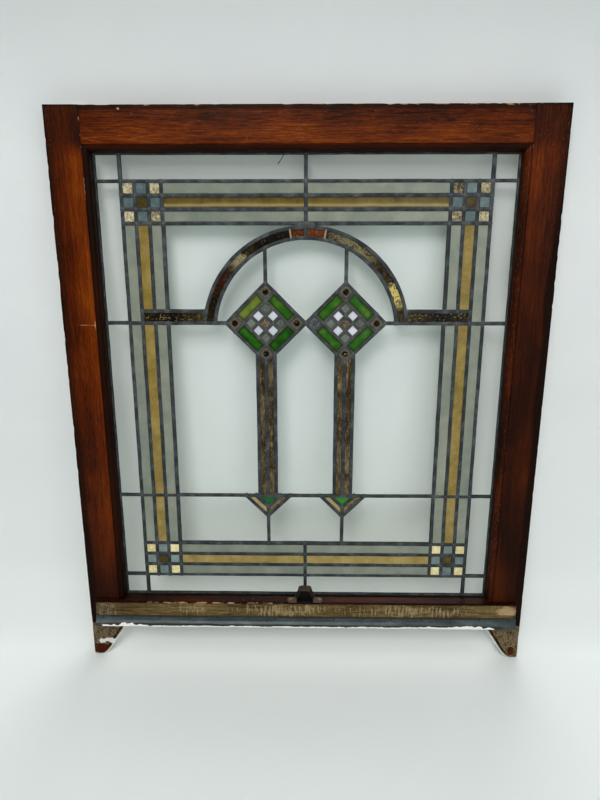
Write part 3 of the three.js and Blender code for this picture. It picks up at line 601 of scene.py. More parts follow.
def stile_marks(points, side):
    """Where a stile is soiled, darkened by painted shade, lit by painted warm light, given painted
    highlights, chipped or painted, from each point's place.
    """
    x, y, z = points.T
    u, face, back = np.abs(x), on_face(y), on_back(y)
    grainy = rough(points, (0.012, 0.012, 0.09), 11 + side)
    horn = step(-z, 0.847, 0.853) * (y < 16 * MM)
    outer = step(u + grainy * 2.5 * MM, 0.3655, 0.373)
    rim = step(u + grainy * 1.5 * MM, 0.3765, 0.3795)
    head = step(z, -0.075, -0.045)
    moulded = (1 - face) * step(-u, -0.3295, -0.3285) * (1 - back)
    low = step(-z, 0.55, 0.80)
    dirt = face * (outer * (0.52 - 0.3 * horn) + rim * 0.25 + head * (0.32 - 0.3 * outer))
    # The face is darker towards the foot, and the right stile's face is darker than the left's, which is
    # painted shade: the light comes from the left.
    dirt += face * low * ((0.56 if side > 0 else 0.36) + 0.2 * step(u, 0.338, 0.366))
    if side > 0:
        dirt += face * (step(-z, 0.08, 0.28) * (1 - low) * 0.46 - low * 0.1)
    dirt = np.minimum(dirt, 0.8)
    # The moulding is darkened as painted shade, the left one more, as it faces away from the light.
    dirt += moulded * (0.7 if side < 0 else 0.5 + 0.25 * grainy)
    dirt += (1 - face) * step(u, 0.375, 0.380) * 0.5 + bump(z, 0, 3 * MM) * 0.35
    dirt += bump(u, 0.3288, 0.8 * MM) * step(z, -0.056, -0.052) * 0.5
    # Painted warm light on the inner part of the face, mostly high up, and stronger on the left stile, which
    # faces the light.
    upper = step(z, -0.7, -0.1)
    warmth = 0.3 + 0.42 * upper if side < 0 else 0.55 * upper - 0.35 * (1 - low)
    glow = face * step(-u, -0.366, -0.335) * (1 - head) * (1 - 0.9 * step(-z, 0.62, 0.8)) * warmth
    # Painted highlights on the grain, strongest on the right stile's moulding, which faces the light.
    flecks = face * (0.25 + 0.6 * outer + 0.3 * head) + moulded * (0.5 if side < 0 else 1.3)
    chips = face * bump(z, -0.058, 9 * MM) * bump(u, 0.3285, 2.0 * MM) * 0.55
    chips += bump(z, 0, 2.5 * MM) * step(rough(points, (0.008, 0.008, 0.008), 13 + side), 0.1, 0.9) * 0.6
    for start, end, width, strength in SCRATCHES[side]:
        chips += stroke(points, start, end, width) * strength
    if side < 0:
        chips += stroke(points, (-329.5, -8), (-329, -50), 1.1) * (0.2 + 0.6 * noise(points, 0.006, 2))
    inside = u - stile_limit(z)
    flaking = rough(points, 0.007, 4)
    paint = horn * (bump(inside, 0, 3.5 * MM) * 0.8 + bump(z, -0.853, 3 * MM) * step(-u, -0.345, -0.33) * 0.7)
    dirt += horn * face * bump(inside, 6.5 * MM, 2.5 * MM) * (0.9 + 0.4 * flaking)
    if side < 0:
        paint += horn * face * bump(z + flaking * 4 * MM, -0.887, 4 * MM) * step(-u, -0.374, -0.368) * 0.9
        bare = horn * face * step(-z + flaking * 2 * MM, 0.893, 0.897) * 0.95
    else:
        bare = horn * face * bump(z + flaking * 2 * MM, -0.903, 8 * MM) * bump(u, 0.369, 5 * MM) * 1.1
        paint += horn * face * bump(z, -0.912, 3 * MM) * bump(u, 0.378, 3 * MM) * 0.7
    split = face * bump(inside, 6.5 * MM, 1.8 * MM) * (0.75 + 0.4 * flaking)
    taupe = horn * ((0.85 - 0.2 * outer) * (1 - step(bare, 0.2, 0.6)) + flaking * 0.2 - split)
    # Painted light on the horn's bare patch, stronger on the left horn.
    glow += horn * step(bare, 0.2, 0.6) * (0.3 if side < 0 else 0.05)
    paint = np.maximum(paint, old_paint(points, (0.05, 0.05, 0.12), 21 + side))
    return {
        "dirt": dirt * (1 - 0.8 * step(bare, 0.2, 0.6)), "glow": glow, "flecks": flecks, "chips": chips,
        "paint": paint, "taupe": taupe, "bare": back,
    }


for word, side in (("left", -1), ("right", 1)):
    shape = stile_shape(side)
    marks = stile_marks(shape[0], side)
    make(f"stile_{word}_varnished", shape, upright_wood, [f"stile_{word}"], marks)

# %% [markdown]
# ## The top rail
#
# The top rail is the same moulding on its side. It meets the stiles' faces in a straight shoulder and
# their mouldings in a mitre, so every line of its section stops at its own length. Its upper edge has
# slid in a dirty frame for decades, which has left a dark worn strip with chips along it.

# %% The top rail
def box_shell(low, high):
    """A plain block between two corners, in millimetres."""
    (x0, y0, z0), (x1, y1, z1) = low, high
    ring = np.array([(y0, z0), (y0, z1), (y1, z1), (y1, z0)])
    rings = np.stack([np.column_stack([np.full(4, x), ring]) for x in (x0, x1)])
    return shell(rings * MM)


def tenons(low, high, start, end):
    """A rail's two tenons between two heights, from `start` to `end` out from the middle. Millimetres."""
    return [box_shell((s * start, -TENON_HALF, low), (s * end, TENON_HALF, high)) for s in (-1, 1)]


def top_rail_shape():
    """The section's points, each carried between its own ends: the shoulder on the face, then the mitre."""
    inner = [(FRONT + deep, -RAIL_FACE - across, r, s) for across, deep, r, s in moulding()]
    low = sight_top / MM + REBATE
    outline = section([
        (FRONT, 0, 1.6, 1.6), *inner, (SHOULDER, low, 0, 3.0), (BACK, low, 0.8, 4.0), (BACK, 0, 1.0, 2.5),
    ])
    along = np.linspace(-1, 1, 330)
    reach = (face_x - 0.3 + np.minimum(outline[:, 1] / MM + RAIL_FACE, 0)) * MM
    spots = spread(along[:, None] * reach, outline[None, :, 0], outline[None, :, 1])
    x, y, z = np.moveaxis(spots, -1, 0)
    arris = bump(np.hypot(y - front_y, z), 0, 3 * MM)
    arris += bump(np.hypot(y - front_y, z + RAIL_FACE * MM), 0, 1.6 * MM) * 0.5
    worn = step(rough(spots, (0.012, 0.01, 0.01), 31), 0.1, 1.1) * 1.0 * arris
    depth = (0.12 + 0.12 * noise(spots, (0.12, 0.02, 0.02), 33) + worn) * MM
    direction = inward(outline)
    rings = np.stack([x, y + direction[None, :, 0] * depth, z + direction[None, :, 1] * depth], axis=-1)
    return together([shell(rings), *tenons(*TENONS[0], 320, 369.7)])


def top_rail_marks(points):
    """Dark near the top edge, painted shade in the moulding, painted warm light lower on the face, light
    chips on the upper arris, and pale ticks below that are painted highlights.
    """
    x, y, z = points.T
    face, back = on_face(y), on_back(y)
    grainy = rough(points, (0.12, 0.01, 0.008), 35)
    moulded = (1 - face) * step(-z, 0.0535, 0.0545) * (1 - back)
    upper = step(z + grainy * 2 * MM, -0.010, -0.005)
    # The moulding's darkening is painted shade.
    dirt = face * (upper * 0.5 + step(z, -0.032, -0.012) * 0.12) + moulded * 0.62 + step(z, -2 * MM, 0) * 0.15
    dirt += bump(np.hypot((x - 0.250) / 1.4, z + 0.028), 0, 6 * MM) * 0.45
    dirt += face * bump(np.abs(x), 0.329, 5 * MM) * 0.3
    # Painted warm light on the face below the dark top strip.
    glow = face * step(-z, 0.012, 0.040) * (0.34 + 0.25 * noise(points, 0.12, 3))
    ragged = rough(points, (0.010, 0.004, 0.004), 41)
    chips = bump(z, 0, 3.2 * MM) * (0.1 + 0.6 * step(ragged, -0.1, 0.9)) * step(-y, 0.008, 0.016)
    chips += bump(z, -0.002, 5 * MM) * step(x, 0.25, 0.33) * 0.3
    chips += bump(np.hypot(x + 0.271, z + 0.006), 0, 2.5 * MM) * 0.8
    # The ticks are painted highlights on the grain, carried by the mark for chips.
    ticks = step(rough(points, (0.006, 0.05, 0.0012), 43), 0.75, 1.15) * face * step(-z, 0.012, 0.02) * 0.6
    # The face and the moulding get painted highlights too.
    return {
        "dirt": dirt, "glow": glow, "flecks": face * 0.8 + moulded * 0.4, "chips": chips + ticks,
        "paint": old_paint(points, (0.12, 0.05, 0.05), 45), "bare": back,
    }


shape = top_rail_shape()
make("top_rail_varnished", shape, level_wood, ["top_rail"], top_rail_marks(shape[0]))

# %% [markdown]
# ## The meeting rail
#
# The meeting rail is deeper than the rest, because it laps over the lower sash. Its front was hidden
# while the window was shut, so it is nearly bare wood, brushed and scraped. Only its ledge has varnish,
# and its arris has gone dark, with patches rubbed pale. The section is one outline again. Past the
# stiles' inner edges its back is pushed forwards, which leaves the lap that runs across their faces.

# %% The meeting rail
ledge, rail_base = ledge_z / MM, rail_base_z / MM
LIP, LAP_END = 8.0, 368.0
lap_y = front_y - LIP * MM  # where the ledge ends and the sloping front begins


def rail_front(z):
    """The y of the rail's sloping front at height z, both in millimetres."""
    return FRONT - LIP - (FRONT - LIP - rail_toe_y / MM) * (ledge - z) / (ledge - rail_base)


def meeting_rail_shape():
    """The rail's section at each place along it, with the lap's back pushed to the stiles' faces."""
    outline = section([
        (rail_front(ledge), ledge, 2.5, 1.3), (rail_front(rail_base), rail_base, 1.2, 5.0),
        (BACK, rail_base, 1.2, 5.0), (BACK, ledge - REBATE, 0.8, 5.0), (SHOULDER, ledge - REBATE, 0, 2.5),
        (SHOULDER, ledge, 0.3, 1.3),
    ])
    inner = sight_x - 0.3 * MM
    along = stops(-LAP_END * MM, LAP_END * MM, 1.6 * MM, [-inner - 2e-6, -inner, inner, inner + 2e-6])
    spots = spread(along[:, None], outline[None, :, 0], outline[None, :, 1])
    x, y, z = np.moveaxis(spots, -1, 0)
    arris = bump(np.hypot(y - lap_y, z - ledge_z), 0, 3.5 * MM)
    foot = bump(np.hypot(y - rail_toe_y, z - rail_base_z), 0, 2.5 * MM)
    worn = step(rough(spots, (0.012, 0.01, 0.01), 51), -0.2, 0.9) * (1.3 * arris + 0.9 * foot)
    front = step(-y, 22 * MM, 24 * MM)
    gouge = step(rough(spots, (0.05, 0.01, 0.004), 53), 0.35, 1.0) * 0.9 * front
    depth = (0.1 + 0.1 * noise(spots, (0.1, 0.02, 0.01), 55) + worn + gouge) * MM
    direction = inward(outline)
    y_new = y + direction[None, :, 0] * depth
    y_new = np.where(np.abs(x) > inner + 1e-6, np.minimum(y_new, front_y - 0.3 * MM), y_new)
    rings = np.stack([x, y_new, z + direction[None, :, 1] * depth], axis=-1)
    return together([shell(rings), *tenons(*TENONS[1], 318, 380.7)])


def meeting_rail_marks(points):
    """Varnish on the ledge with painted light on it and painted shade at its back, bare brushed wood in front
    with a painted shadow line at the zinc's top edge, and a ragged line of white paint along the foot.
    """
    x, y, z = points.T
    front, back = step(-y, 0.0245, 0.0258) * step(-z, 0.8035, 0.8055), on_back(y)
    top = step(z, ledge_z - 1.0 * MM, ledge_z - 0.4 * MM)
    ragged = rough(points, (0.012, 0.006, 0.004), 61)
    grainy = rough(points, (0.08, 0.01, 0.006), 63)
    middle = step(x, -0.31, -0.26) * step(-x, -0.325, -0.305)
    scrape = middle * (0.5 + 0.2 * noise(points, (0.05, 1.0, 1.0), 66))
    scrape *= 0.6 + 0.4 * bump(z, -0.817, 9 * MM)
    tan_end = bump(np.hypot((x - 0.352) / 2.2, z + 0.815), 0, 12 * MM) * step(x, 0.322, 0.330)
    brown_end = step(-x + ragged * 4 * MM, 0.331, 0.335) * (0.66 - 0.3 * step(-x, 0.356, 0.368))
    worn = bump(np.hypot(y - lap_y, z - ledge_z), 0, 2.6 * MM)
    rubbed = worn * (step(x, -0.29, -0.26) * step(-x, 0.03, 0.05) * 0.55 + 0.15 + 0.3 * ragged)
    # Painted shade at the back of the ledge, where it meets the glass.
    shade_by_glass = top * step(y + ragged * 1.5 * MM, -4.5 * MM, -2.0 * MM)
    pits = front * step(noise(points, (0.006, 0.006, 0.0035), 67), 0.72, 0.85)
    joint = front * bump(np.abs(x), 0.322, 1.2 * MM) * 0.4
    dirt = top * (0.55 + 0.2 * grainy) + shade_by_glass + pits + joint
    # Grainy soiling on the front, and a painted shadow line at the zinc's top edge.
    dirt += front * (0.2 * grainy + bump(z, -0.829, 2 * MM) * 0.4)
    dirt += front * step(np.abs(x), 0.356, 0.368) * 0.5
    chips = top * step(noise(points, 0.004, 69), 0.78, 0.88) * bump(x, -0.06, 0.10)
    chips += front * tan_end * 0.75 + rubbed
    foot = step(-z + ragged * 1.2 * MM, 0.8462, 0.8472) * step(x, -0.345, -0.32)
    shade = (1 - front) * (1 - top) * step(-z, 0.8475, 0.8488)
    paint = np.maximum(foot * step(-y, 0.020, 0.026) * 0.85, old_paint(points, (0.12, 0.05, 0.05), 65))
    # The ledge gets a little painted light and painted highlights, as it faces up.
    return {
        "dirt": dirt + shade * 0.3 + worn * 0.7, "glow": top * (1 - worn) * 0.1, "chips": chips,
        "flecks": top * 0.8, "paint": paint, "taupe": front * brown_end,
        "bare": np.maximum(front * 0.9, back), "scraped": front * scrape,
    }


shape = meeting_rail_shape()
make("meeting_rail_worn", shape, level_wood, ["meeting_rail"], meeting_rail_marks(shape[0]))

# %% [markdown]
# ## Lead
#
# Came is an H of soft lead. It is bent by hand around each piece of glass, so it is never quite straight,
# and it has gone dull blue-grey. An H-shaped section carried along every line gives its rounded faces and
# the shadow line beside it. Where lines meet, a flattened blob of solder joins them, a little brighter
# than the lead.

# %% The finish of old lead
def lead_finish():
    """Dark oxidised lead, streaked with putty dust, and brighter where a blob of solder is marked."""
    it = Finish("oxidised lead", Specular_IOR_Level=0.25)
    cloud, grit = it.noise(18 * MM, 4, wild=0.6), it.noise(1.6 * MM, 4, shift=2.0, wild=0.7)
    lead = (cloud * 0.7 + grit * 0.5).ramp(
        (0.3, colour(36, 38, 39)), (0.58, colour(66, 70, 73)), (0.85, colour(120, 124, 126)),
    )
    dusty = (it.noise(9 * MM, 4, shift=7.0, wild=0.7) + it.mark("dust") * 0.3).step(0.62, 0.9)
    lead = it.mix(dusty * 0.55, lead, colour(104, 99, 92))
    solder = (it.mark("solder") + (grit - 0.5) * 0.7).step(0.3, 0.8)
    base = it.mix(solder * 0.3, lead, colour(112, 116, 116))
    it.feed(Base_Color=base, Roughness=0.62 - solder * 0.18 + grit * 0.15, Metallic=0.3 + solder * 0.25)
    it.relief(grit * 0.6 + cloud * 0.6, 0.5, 0.4 * MM)
    return it.material


lead = lead_finish()
print("lead's finish:", len(lead.node_tree.nodes), "nodes")

# %% One came
FLANGE, HEART_HALF = 1.0 * MM, 0.8 * MM
NET_CAME, SLIM_CAME, THIN_CAME = CAME_WIDE * 1.04, 5.0 * MM, 3.0 * MM


def came_section(wide):
    """Half of the H in (across, y): a domed flange in front, the heart, and a domed flange behind."""
    across = np.array([0.0, 0.35, 0.68, 0.92, 1.0]) * wide / 2
    dome = np.array([0.0, 0.10, 0.32, 0.62, 1.0]) * FLANGE
    heart = min(HEART_HALF, wide / 4)
    front = list(zip(across, lead_front + dome))
    back = list(zip(across[::-1], lead_back - dome[::-1]))
    half = [*front, (heart, lead_front + FLANGE), (heart, lead_back - FLANGE), *back]
    other = [(-a, y) for a, y in reversed(half[1:-1])]
    return np.array(half + other)


def came(path, wide=CAME_WIDE, seed=0):
    """The H carried along points (x, z): each point's section lies across the path, a little off its line."""
    path = np.asarray(path, float)
    tangent = np.gradient(path, axis=0)
    tangent /= np.linalg.norm(tangent, axis=1, keepdims=True)
    across = np.column_stack([tangent[:, 1], -tangent[:, 0]])
    spots = np.column_stack([path[:, 0], np.zeros(len(path)), path[:, 1]])
    sway, swell = noise(spots, 0.03, 70 + seed) * 0.25 * MM, 1 + 0.06 * noise(spots, 0.012, 80 + seed)
    profile = came_section(wide)
    offset = sway[:, None] + profile[None, :, 0] * swell[:, None]
    dent = np.clip(noise(spots, 0.016, 90 + seed), 0, 1)[:, None] * 0.25 * MM
    y = profile[:, 1] + np.where(profile[:, 1] < lead_front + FLANGE / 2, dent, 0)
    flat = path[:, None, :] + across[:, None, :] * offset[:, :, None]
    return shell(spread(flat[..., 0], y, flat[..., 1]))


def straight(start, end, spacing=8 * MM):
    """Evenly spaced points from start to end."""
    start, end = np.array(start, float), np.array(end, float)
    count = max(2, round(float(np.linalg.norm(end - start)) / spacing) + 1)
    return start + (end - start) * np.linspace(0, 1, count)[:, None]


def arc(radius, start, end):
    """Points on a circle about the arch's centre, about 6 mm apart, between two angles from the vertical."""
    angle = np.linspace(start, end, max(3, round(abs(end - start) * radius / (6 * MM)) + 1))
    return np.column_stack([radius * np.sin(angle), arch_z + radius * np.cos(angle)])


print("points in a came's section:", len(came_section(CAME_WIDE)))

# %% Every straight lead line
def both_sides(lines):
    """The lines given for the right-hand side, and their reflections."""
    return lines + [((-x0, z0), (-x1, z1)) for (x0, z0), (x1, z1) in lines]


def border_lines():
    """The edge, the border's four lines on each side with the squares at its corners, and the middle."""
    lines = [((-edge_x, z), (edge_x, z)) for z in (edge_top, edge_bottom)]
    lines += both_sides([((x, edge_bottom), (x, edge_top)) for x in (edge_x, border_x)])
    for outer, inwards in ((border_top, -pitch), (border_bottom, pitch)):
        inner = outer + 3 * inwards
        lines += [((-edge_x, outer), (edge_x, outer)), ((-border_x, inner), (border_x, inner))]
        lines += [((-border_x, outer + n * inwards), (border_x, outer + n * inwards)) for n in (1, 2)]
        inner_x = [border_x - n * pitch for n in (1, 2, 3)]
        lines += both_sides([((x, outer), (x, inner)) for x in inner_x])
    lines += both_sides([((bar_end, field_bottom), (bar_end, field_top))])
    for x in (bar_end - pitch, field_x):
        lines += both_sides([((x, bar_top), (x, field_top)), ((x, field_bottom), (x, mid_z))])
    crown = arch_height(ARCH_INNER, 0)
    return lines + [((0, crown), (0, edge_top)), ((0, edge_bottom), (0, field_bottom))]


def field_lines():
    """The bars beside the arch, the rods above the diamonds, the low line, the stems and the arrow tips."""
    right = diamond_x
    lines = both_sides([
        ((arch_x(ARCH_OUTER, bar_top), bar_top), (bar_end, bar_top)),
        ((right + diamond_half, mid_z), (edge_x, mid_z)),
        ((right, mid_z + diamond_half), (right, arch_height(ARCH_INNER, right))),
        ((right, low_z - tip_outer), (right, field_bottom)),
        ((right, low_z - TIP_INNER), (right, low_z - tip_outer)),
        ((right, mid_z - diamond_half), (right, low_z)),
    ])
    shoulder = mid_z - diamond_half + stem_half
    for off in (-stem_half, stem_half):
        lines += both_sides([((right + off, shoulder), (right + off, low_z))])
    for half in (tip_outer, TIP_INNER):
        lines += both_sides([((right + s * half, low_z), (right, low_z - half)) for s in (-1, 1)])
    return lines + [((-edge_x, low_z), (edge_x, low_z))]


lattice_half = diamond_half * math.sqrt(0.5)
lattice_ring = lattice_half - RING


def stand(side, along, across):
    """A place in a diamond, given square to its own sides, as (x, z): it is turned to stand on a corner."""
    root = math.sqrt(0.5)
    return np.stack([side * diamond_x + (along - across) * root, mid_z + (along + across) * root], axis=-1)


def diamond_lines(side):
    """A lattice stood on its corner: the outer square, the ring's inner lines, and the nine squares."""
    spans = [(s * lattice_half, lattice_half) for s in (-1, 1)]
    spans += [(s * lattice_ring, lattice_half) for s in (-1, 1)]
    spans += [(s * lattice_ring / 3, lattice_ring) for s in (-1, 1)]
    lines = [(stand(side, -reach, at), stand(side, reach, at)) for at, reach in spans]
    return lines + [(stand(side, at, -reach), stand(side, at, reach)) for at, reach in spans]


every_line = border_lines() + field_lines() + diamond_lines(-1) + diamond_lines(1)
straight_lines = [np.array(line) for line in every_line]
metres = sum(np.linalg.norm(b - a) for a, b in straight_lines)
print("straight cames:", len(straight_lines), "total m:", round(metres, 2))

# %% Where the solder is
def meetings(lines):
    """Every place where two straight lines touch or cross: the two equations solved for all pairs at once."""
    start, run = np.array([a for a, b in lines]), np.array([b - a for a, b in lines])
    gap = start[None, :] - start[:, None]
    cross = run[:, None, 0] * run[None, :, 1] - run[:, None, 1] * run[None, :, 0]
    usable = np.abs(cross) > 1e-9
    safe = np.where(usable, cross, 1)
    t = (gap[..., 0] * run[None, :, 1] - gap[..., 1] * run[None, :, 0]) / safe
    s = (gap[..., 0] * run[:, None, 1] - gap[..., 1] * run[:, None, 0]) / safe
    slack = 2 * MM / np.linalg.norm(run, axis=1)
    near = usable & (t > -slack[:, None]) & (t < 1 + slack[:, None])
    near &= (s > -slack[None, :]) & (s < 1 + slack[None, :])
    spots = (start[:, None] + t[..., None] * run[:, None])[near]
    return spots[np.sort(np.unique(np.round(spots / (3 * MM)), axis=0, return_index=True)[1])]


def blob(centre, radius, high, seed, front):
    """A flattened dome of solder: rings that shrink as they rise, with an uneven outline."""
    around = np.linspace(0, 2 * math.pi, 13, endpoint=False)
    shrink = np.array([1.0, 0.95, 0.72, 0.36, 0.03])[:, None]
    rise = np.array([-0.35, 0.2, 0.7, 0.95, 1.0])[:, None]
    wave = 1 + 0.14 * noise(np.stack([np.cos(around), np.sin(around), 0 * around], -1), 0.9, seed)
    reach = radius * shrink * wave
    level = lead_front + 0.25 * MM if front else lead_back - 0.25 * MM
    y = level + (-high if front else high) * rise * np.ones_like(reach)
    x, z = centre[0] + reach * np.cos(around), centre[1] + reach * np.sin(around)
    return shell(np.stack([x, y, z], axis=-1))


arch_foot = math.acos((mid_z - arch_z) / ((ARCH_OUTER + ARCH_INNER) / 2))
band_middle = (ARCH_OUTER + ARCH_INNER) / 2
key_left, key_right = -math.asin(KEY_LEFT / band_middle), math.asin(KEY_RIGHT / band_middle)
hoop_ends = [(radius, math.acos((mid_z - arch_z) / radius)) for radius in (ARCH_OUTER, ARCH_INNER)]
hoops = [arc(radius, -end, end) for radius, end in hoop_ends]
thin = [np.concatenate([arc(r, a, a)[:1] for r in (ARCH_INNER, ARCH_OUTER)]) for a in (key_left, key_right)]
arch_joints = [(s * diamond_x, arch_height(ARCH_INNER, diamond_x)) for s in (-1, 1)]
arch_joints += [(s * arch_x(r, mid_z), mid_z) for s in (-1, 1) for r in (ARCH_OUTER, ARCH_INNER)]
arch_joints += [(s * arch_x(ARCH_OUTER, bar_top), bar_top) for s in (-1, 1)]
joints = np.concatenate([meetings(straight_lines), np.array(arch_joints)])
print("soldered joints:", len(joints))

# %% The whole lead net
def line_width(line):
    """Slimmer lead inside the diamonds and round the panel's edge, and the full width everywhere else."""
    x, z = np.abs(line[:, 0]), line[:, 1]
    at_edge = x.min() > edge_x - MM or z.min() > edge_top - MM or z.max() < edge_bottom + MM
    in_diamond = (np.abs(x - diamond_x) + np.abs(z - mid_z)).max() < diamond_half + MM
    return SLIM_CAME if at_edge or in_diamond else NET_CAME


cames = [came(straight(*line), line_width(line), seed=n % 7) for n, line in enumerate(straight_lines)]
cames += [came(hoop, seed=n) for n, hoop in enumerate(hoops)]
crown_cames = [came(straight(*line, spacing=4 * MM), wide=THIN_CAME) for line in thin]
chance = np.random.default_rng(11)
blobs = []
for n, spot in enumerate(joints):
    from_centre = min(abs(spot[0] - s * diamond_x) + abs(spot[1] - mid_z) for s in (-1, 1))
    size = chance.uniform(2.7, 3.1) if from_centre < diamond_half + 2 * MM else chance.uniform(2.9, 3.5)
    blobs += [blob(spot, size * MM, chance.uniform(0.3, 0.5) * MM, n, front) for front in (True, False)]
crown_spots = [(x, arch_height(ARCH_OUTER, x) + 2.5 * MM) for x in np.array([-9.0, -3.0, 3.5, 9.5]) * MM]
for n, spot in enumerate(crown_spots):
    blobs += [blob(spot, 5.5 * MM, 0.6 * MM, n, front) for front in (True, False)]
shape = together([*cames, *blobs])
lead_points, solder_from = shape[0], sum(len(points) for points, _ in cames)
solder_mark = (np.arange(len(lead_points)) >= solder_from).astype(float)
for spot in joints:
    away = np.hypot(lead_points[:, X] - spot[0], lead_points[:, Z] - spot[1])
    solder_mark = np.maximum(solder_mark, 0.7 * bump(away, 0, 7 * MM))
dust_mark = sum(
    step(-(np.abs(lead_points[:, X] - s * diamond_x) + np.abs(lead_points[:, Z] - mid_z)), -0.066, -0.060)
    for s in (-1, 1)
)
make("soldered_lead_net", shape, lead, ["lead_cames"], {"solder": solder_mark, "dust": dust_mark})
pale = Finish("tinned crown cames", Metallic=0.2, Roughness=0.45)
pale.feed(Base_Color=pale.mix(pale.noise(2 * MM, 4), colour(120, 108, 88), colour(190, 176, 148)))
make("crown_cames", together(crown_cames), pale.material, ["lead_cames"])

# %% A stray spur of wire
SPUR = [(-32.2, -64.0), (-34.0, -67.5), (-37.2, -72.5), (-40.0, -76.5), (-41.6, -78.6), (-42.2, -79.2)]
spur_path = np.array(SPUR) * MM
around = np.linspace(0, 2 * math.pi, 9)[:-1]
thick = np.array([0.5, 0.55, 0.55, 0.6, 0.8, 0.3])[:, None] * MM
spur_rings = [
    spur_path[:, :1] + thick * np.cos(around) * 0.85, lead_front - 0.5 * MM + thick * np.sin(around),
    spur_path[:, 1:] - thick * np.cos(around) * 0.53,
]
make("stray_wire_spur", shell(np.stack(spur_rings, axis=-1)), lead)

# %% [markdown]
# ## Panes
#
# Every pane lies between two edges, given as matching points. Lines across from one edge to the other
# give the front and the back, with a slow ripple that old rolled glass has. Its rims hide under the
# lead's flanges. Finer hammering and granite textures are bumps in the finish.

# %% One pane
def pane(first, second, ripple=0.2, size=(9, 9), seed=0, fineness=2.6, crown=0.0):
    """Points across from `first` to `second`, in front with a ripple and a crown, and back again behind."""
    first, second = np.asarray(first, float), np.asarray(second, float)
    widest = np.linalg.norm(first - second, axis=1).max()
    t = np.linspace(0, 1, max(3, round(widest / (fineness * MM)) + 1))
    flat = first[:, None, :] * (1 - t[None, :, None]) + second[:, None, :] * t[None, :, None]
    spots = np.stack([flat[..., 0], np.zeros(flat.shape[:2]), flat[..., 1]], axis=-1)
    waves = noise(spots, (size[0] * MM, 1, size[1] * MM), 100 + seed)
    s = np.linspace(0, 1, len(first))
    swell = crown * (4 * t * (1 - t))[None, :] ** 0.5 * (4 * s * (1 - s))[:, None] ** 0.5
    front = glass_front + (0.3 + ripple * waves - swell) * MM
    back = glass_back - (0.3 + 0.5 * ripple * waves) * MM
    sides = [np.stack([spots[..., 0], depth, spots[..., 2]], axis=-1) for depth in (front, back)]
    return shell(np.concatenate([sides[0], sides[1][:, ::-1]], axis=1))


def box_pane(x0, x1, z0, z1, **look):
    """A rectangular pane between four lead lines, less the kerf on each side."""
    x0, x1, z0, z1 = min(x0, x1) + KERF, max(x0, x1) - KERF, min(z0, z1) + KERF, max(z0, z1) - KERF
    if x1 - x0 > z1 - z0:
        return pane(straight((x0, z0), (x1, z0), 2.6 * MM), straight((x0, z1), (x1, z1), 2.6 * MM), **look)
    return pane(straight((x0, z0), (x0, z1), 2.6 * MM), straight((x1, z0), (x1, z1), 2.6 * MM), **look)


def turned_pane(side, along, across, **look):
    """A pane of a diamond, between two lattice lines each way."""
    (a0, a1), (c0, c1) = ((low + KERF, high - KERF) for low, high in (along, across))
    a = np.linspace(a0, a1, max(4, round((a1 - a0) / (1.6 * MM))))
    return pane(stand(side, a, c0), stand(side, a, c1), **look)


def glaze(name, panes, finish, stands_for, tones=None, reflection_line=None, edge=None):
    """One object of several panes, each with its own tone from -1 to 1. `edge` marks the rims darkened by
    painted shade, and the pale line is a painted reflection.
    """
    shape = together(panes)
    tones = chance.uniform(-1, 1, len(panes)) if tones is None else np.array(tones, float)
    marks = {"tone": np.repeat(tones, [len(points) for points, _ in panes])}
    if reflection_line is not None:
        marks["pale"] = bump(shape[0][:, Z] + 0.6 * MM * noise(shape[0], 0.02, 9), reflection_line, 2.4 * MM)
    if edge is not None:
        marks["edge"] = edge(*shape[0].T)
    return make(name, shape, finish, stands_for, marks)


print("a pane's points:", len(box_pane(0, 0.05, 0, 0.02)[0]))

# %% [markdown]
# ## The kinds of glass
#
# Opal glass is cloudy, so the wall behind does not show through it. It is a solid colour with a glossy
# skin and slow wisps in it. Cathedral glass is dyed through and rolled on a hammered table. The clear
# glass is see-through by a plain alpha, which keeps it clear in the exported model too.

# %% Glass finishes
def glass_finish(name, *colours, wisp, wisps=1.0, grain=1.2, hammer=0.3, sharp=0.5):
    """Coloured glass: slow wisps, fine grain and the pane's own tone pick a colour from dark to light, and
    the same patterns, as bumps, give the hammered or granular skin."""
    it = Finish(name, IOR=1.5, Specular_IOR_Level=0.3, Coat_Weight=0.06, Coat_Roughness=0.05)
    slow = it.noise(wisp * MM, 4, shift=1.0, wild=0.6)
    fine = it.noise(grain * MM, 3, shift=4.0, wild=0.6)
    value = (slow - 0.5) * wisps + (fine - 0.5) * sharp + it.mark("tone") * 0.22 + 0.5
    base = value.ramp(*zip(np.linspace(0, 1, len(colours)).tolist(), colours))
    # A pale painted reflection along the line given by the mark `pale`.
    base = it.mix(it.mark("pale") * 0.5, base, colour(214, 198, 150))
    # Painted shade on the rims that the mark `edge` gives.
    base = it.mix(it.mark("edge") * 0.8, base, colour(24, 34, 10))
    dusty = it.noise(14 * MM, 4, shift=8.0, wild=0.7).step(0.55, 0.85)
    it.feed(Base_Color=it.mix(dusty * 0.2, base, colour(150, 140, 118)), Roughness=dusty * 0.25 + 0.16)
    it.relief(fine * 0.7 + slow * 0.6, hammer, 0.5 * MM)
    return it.material


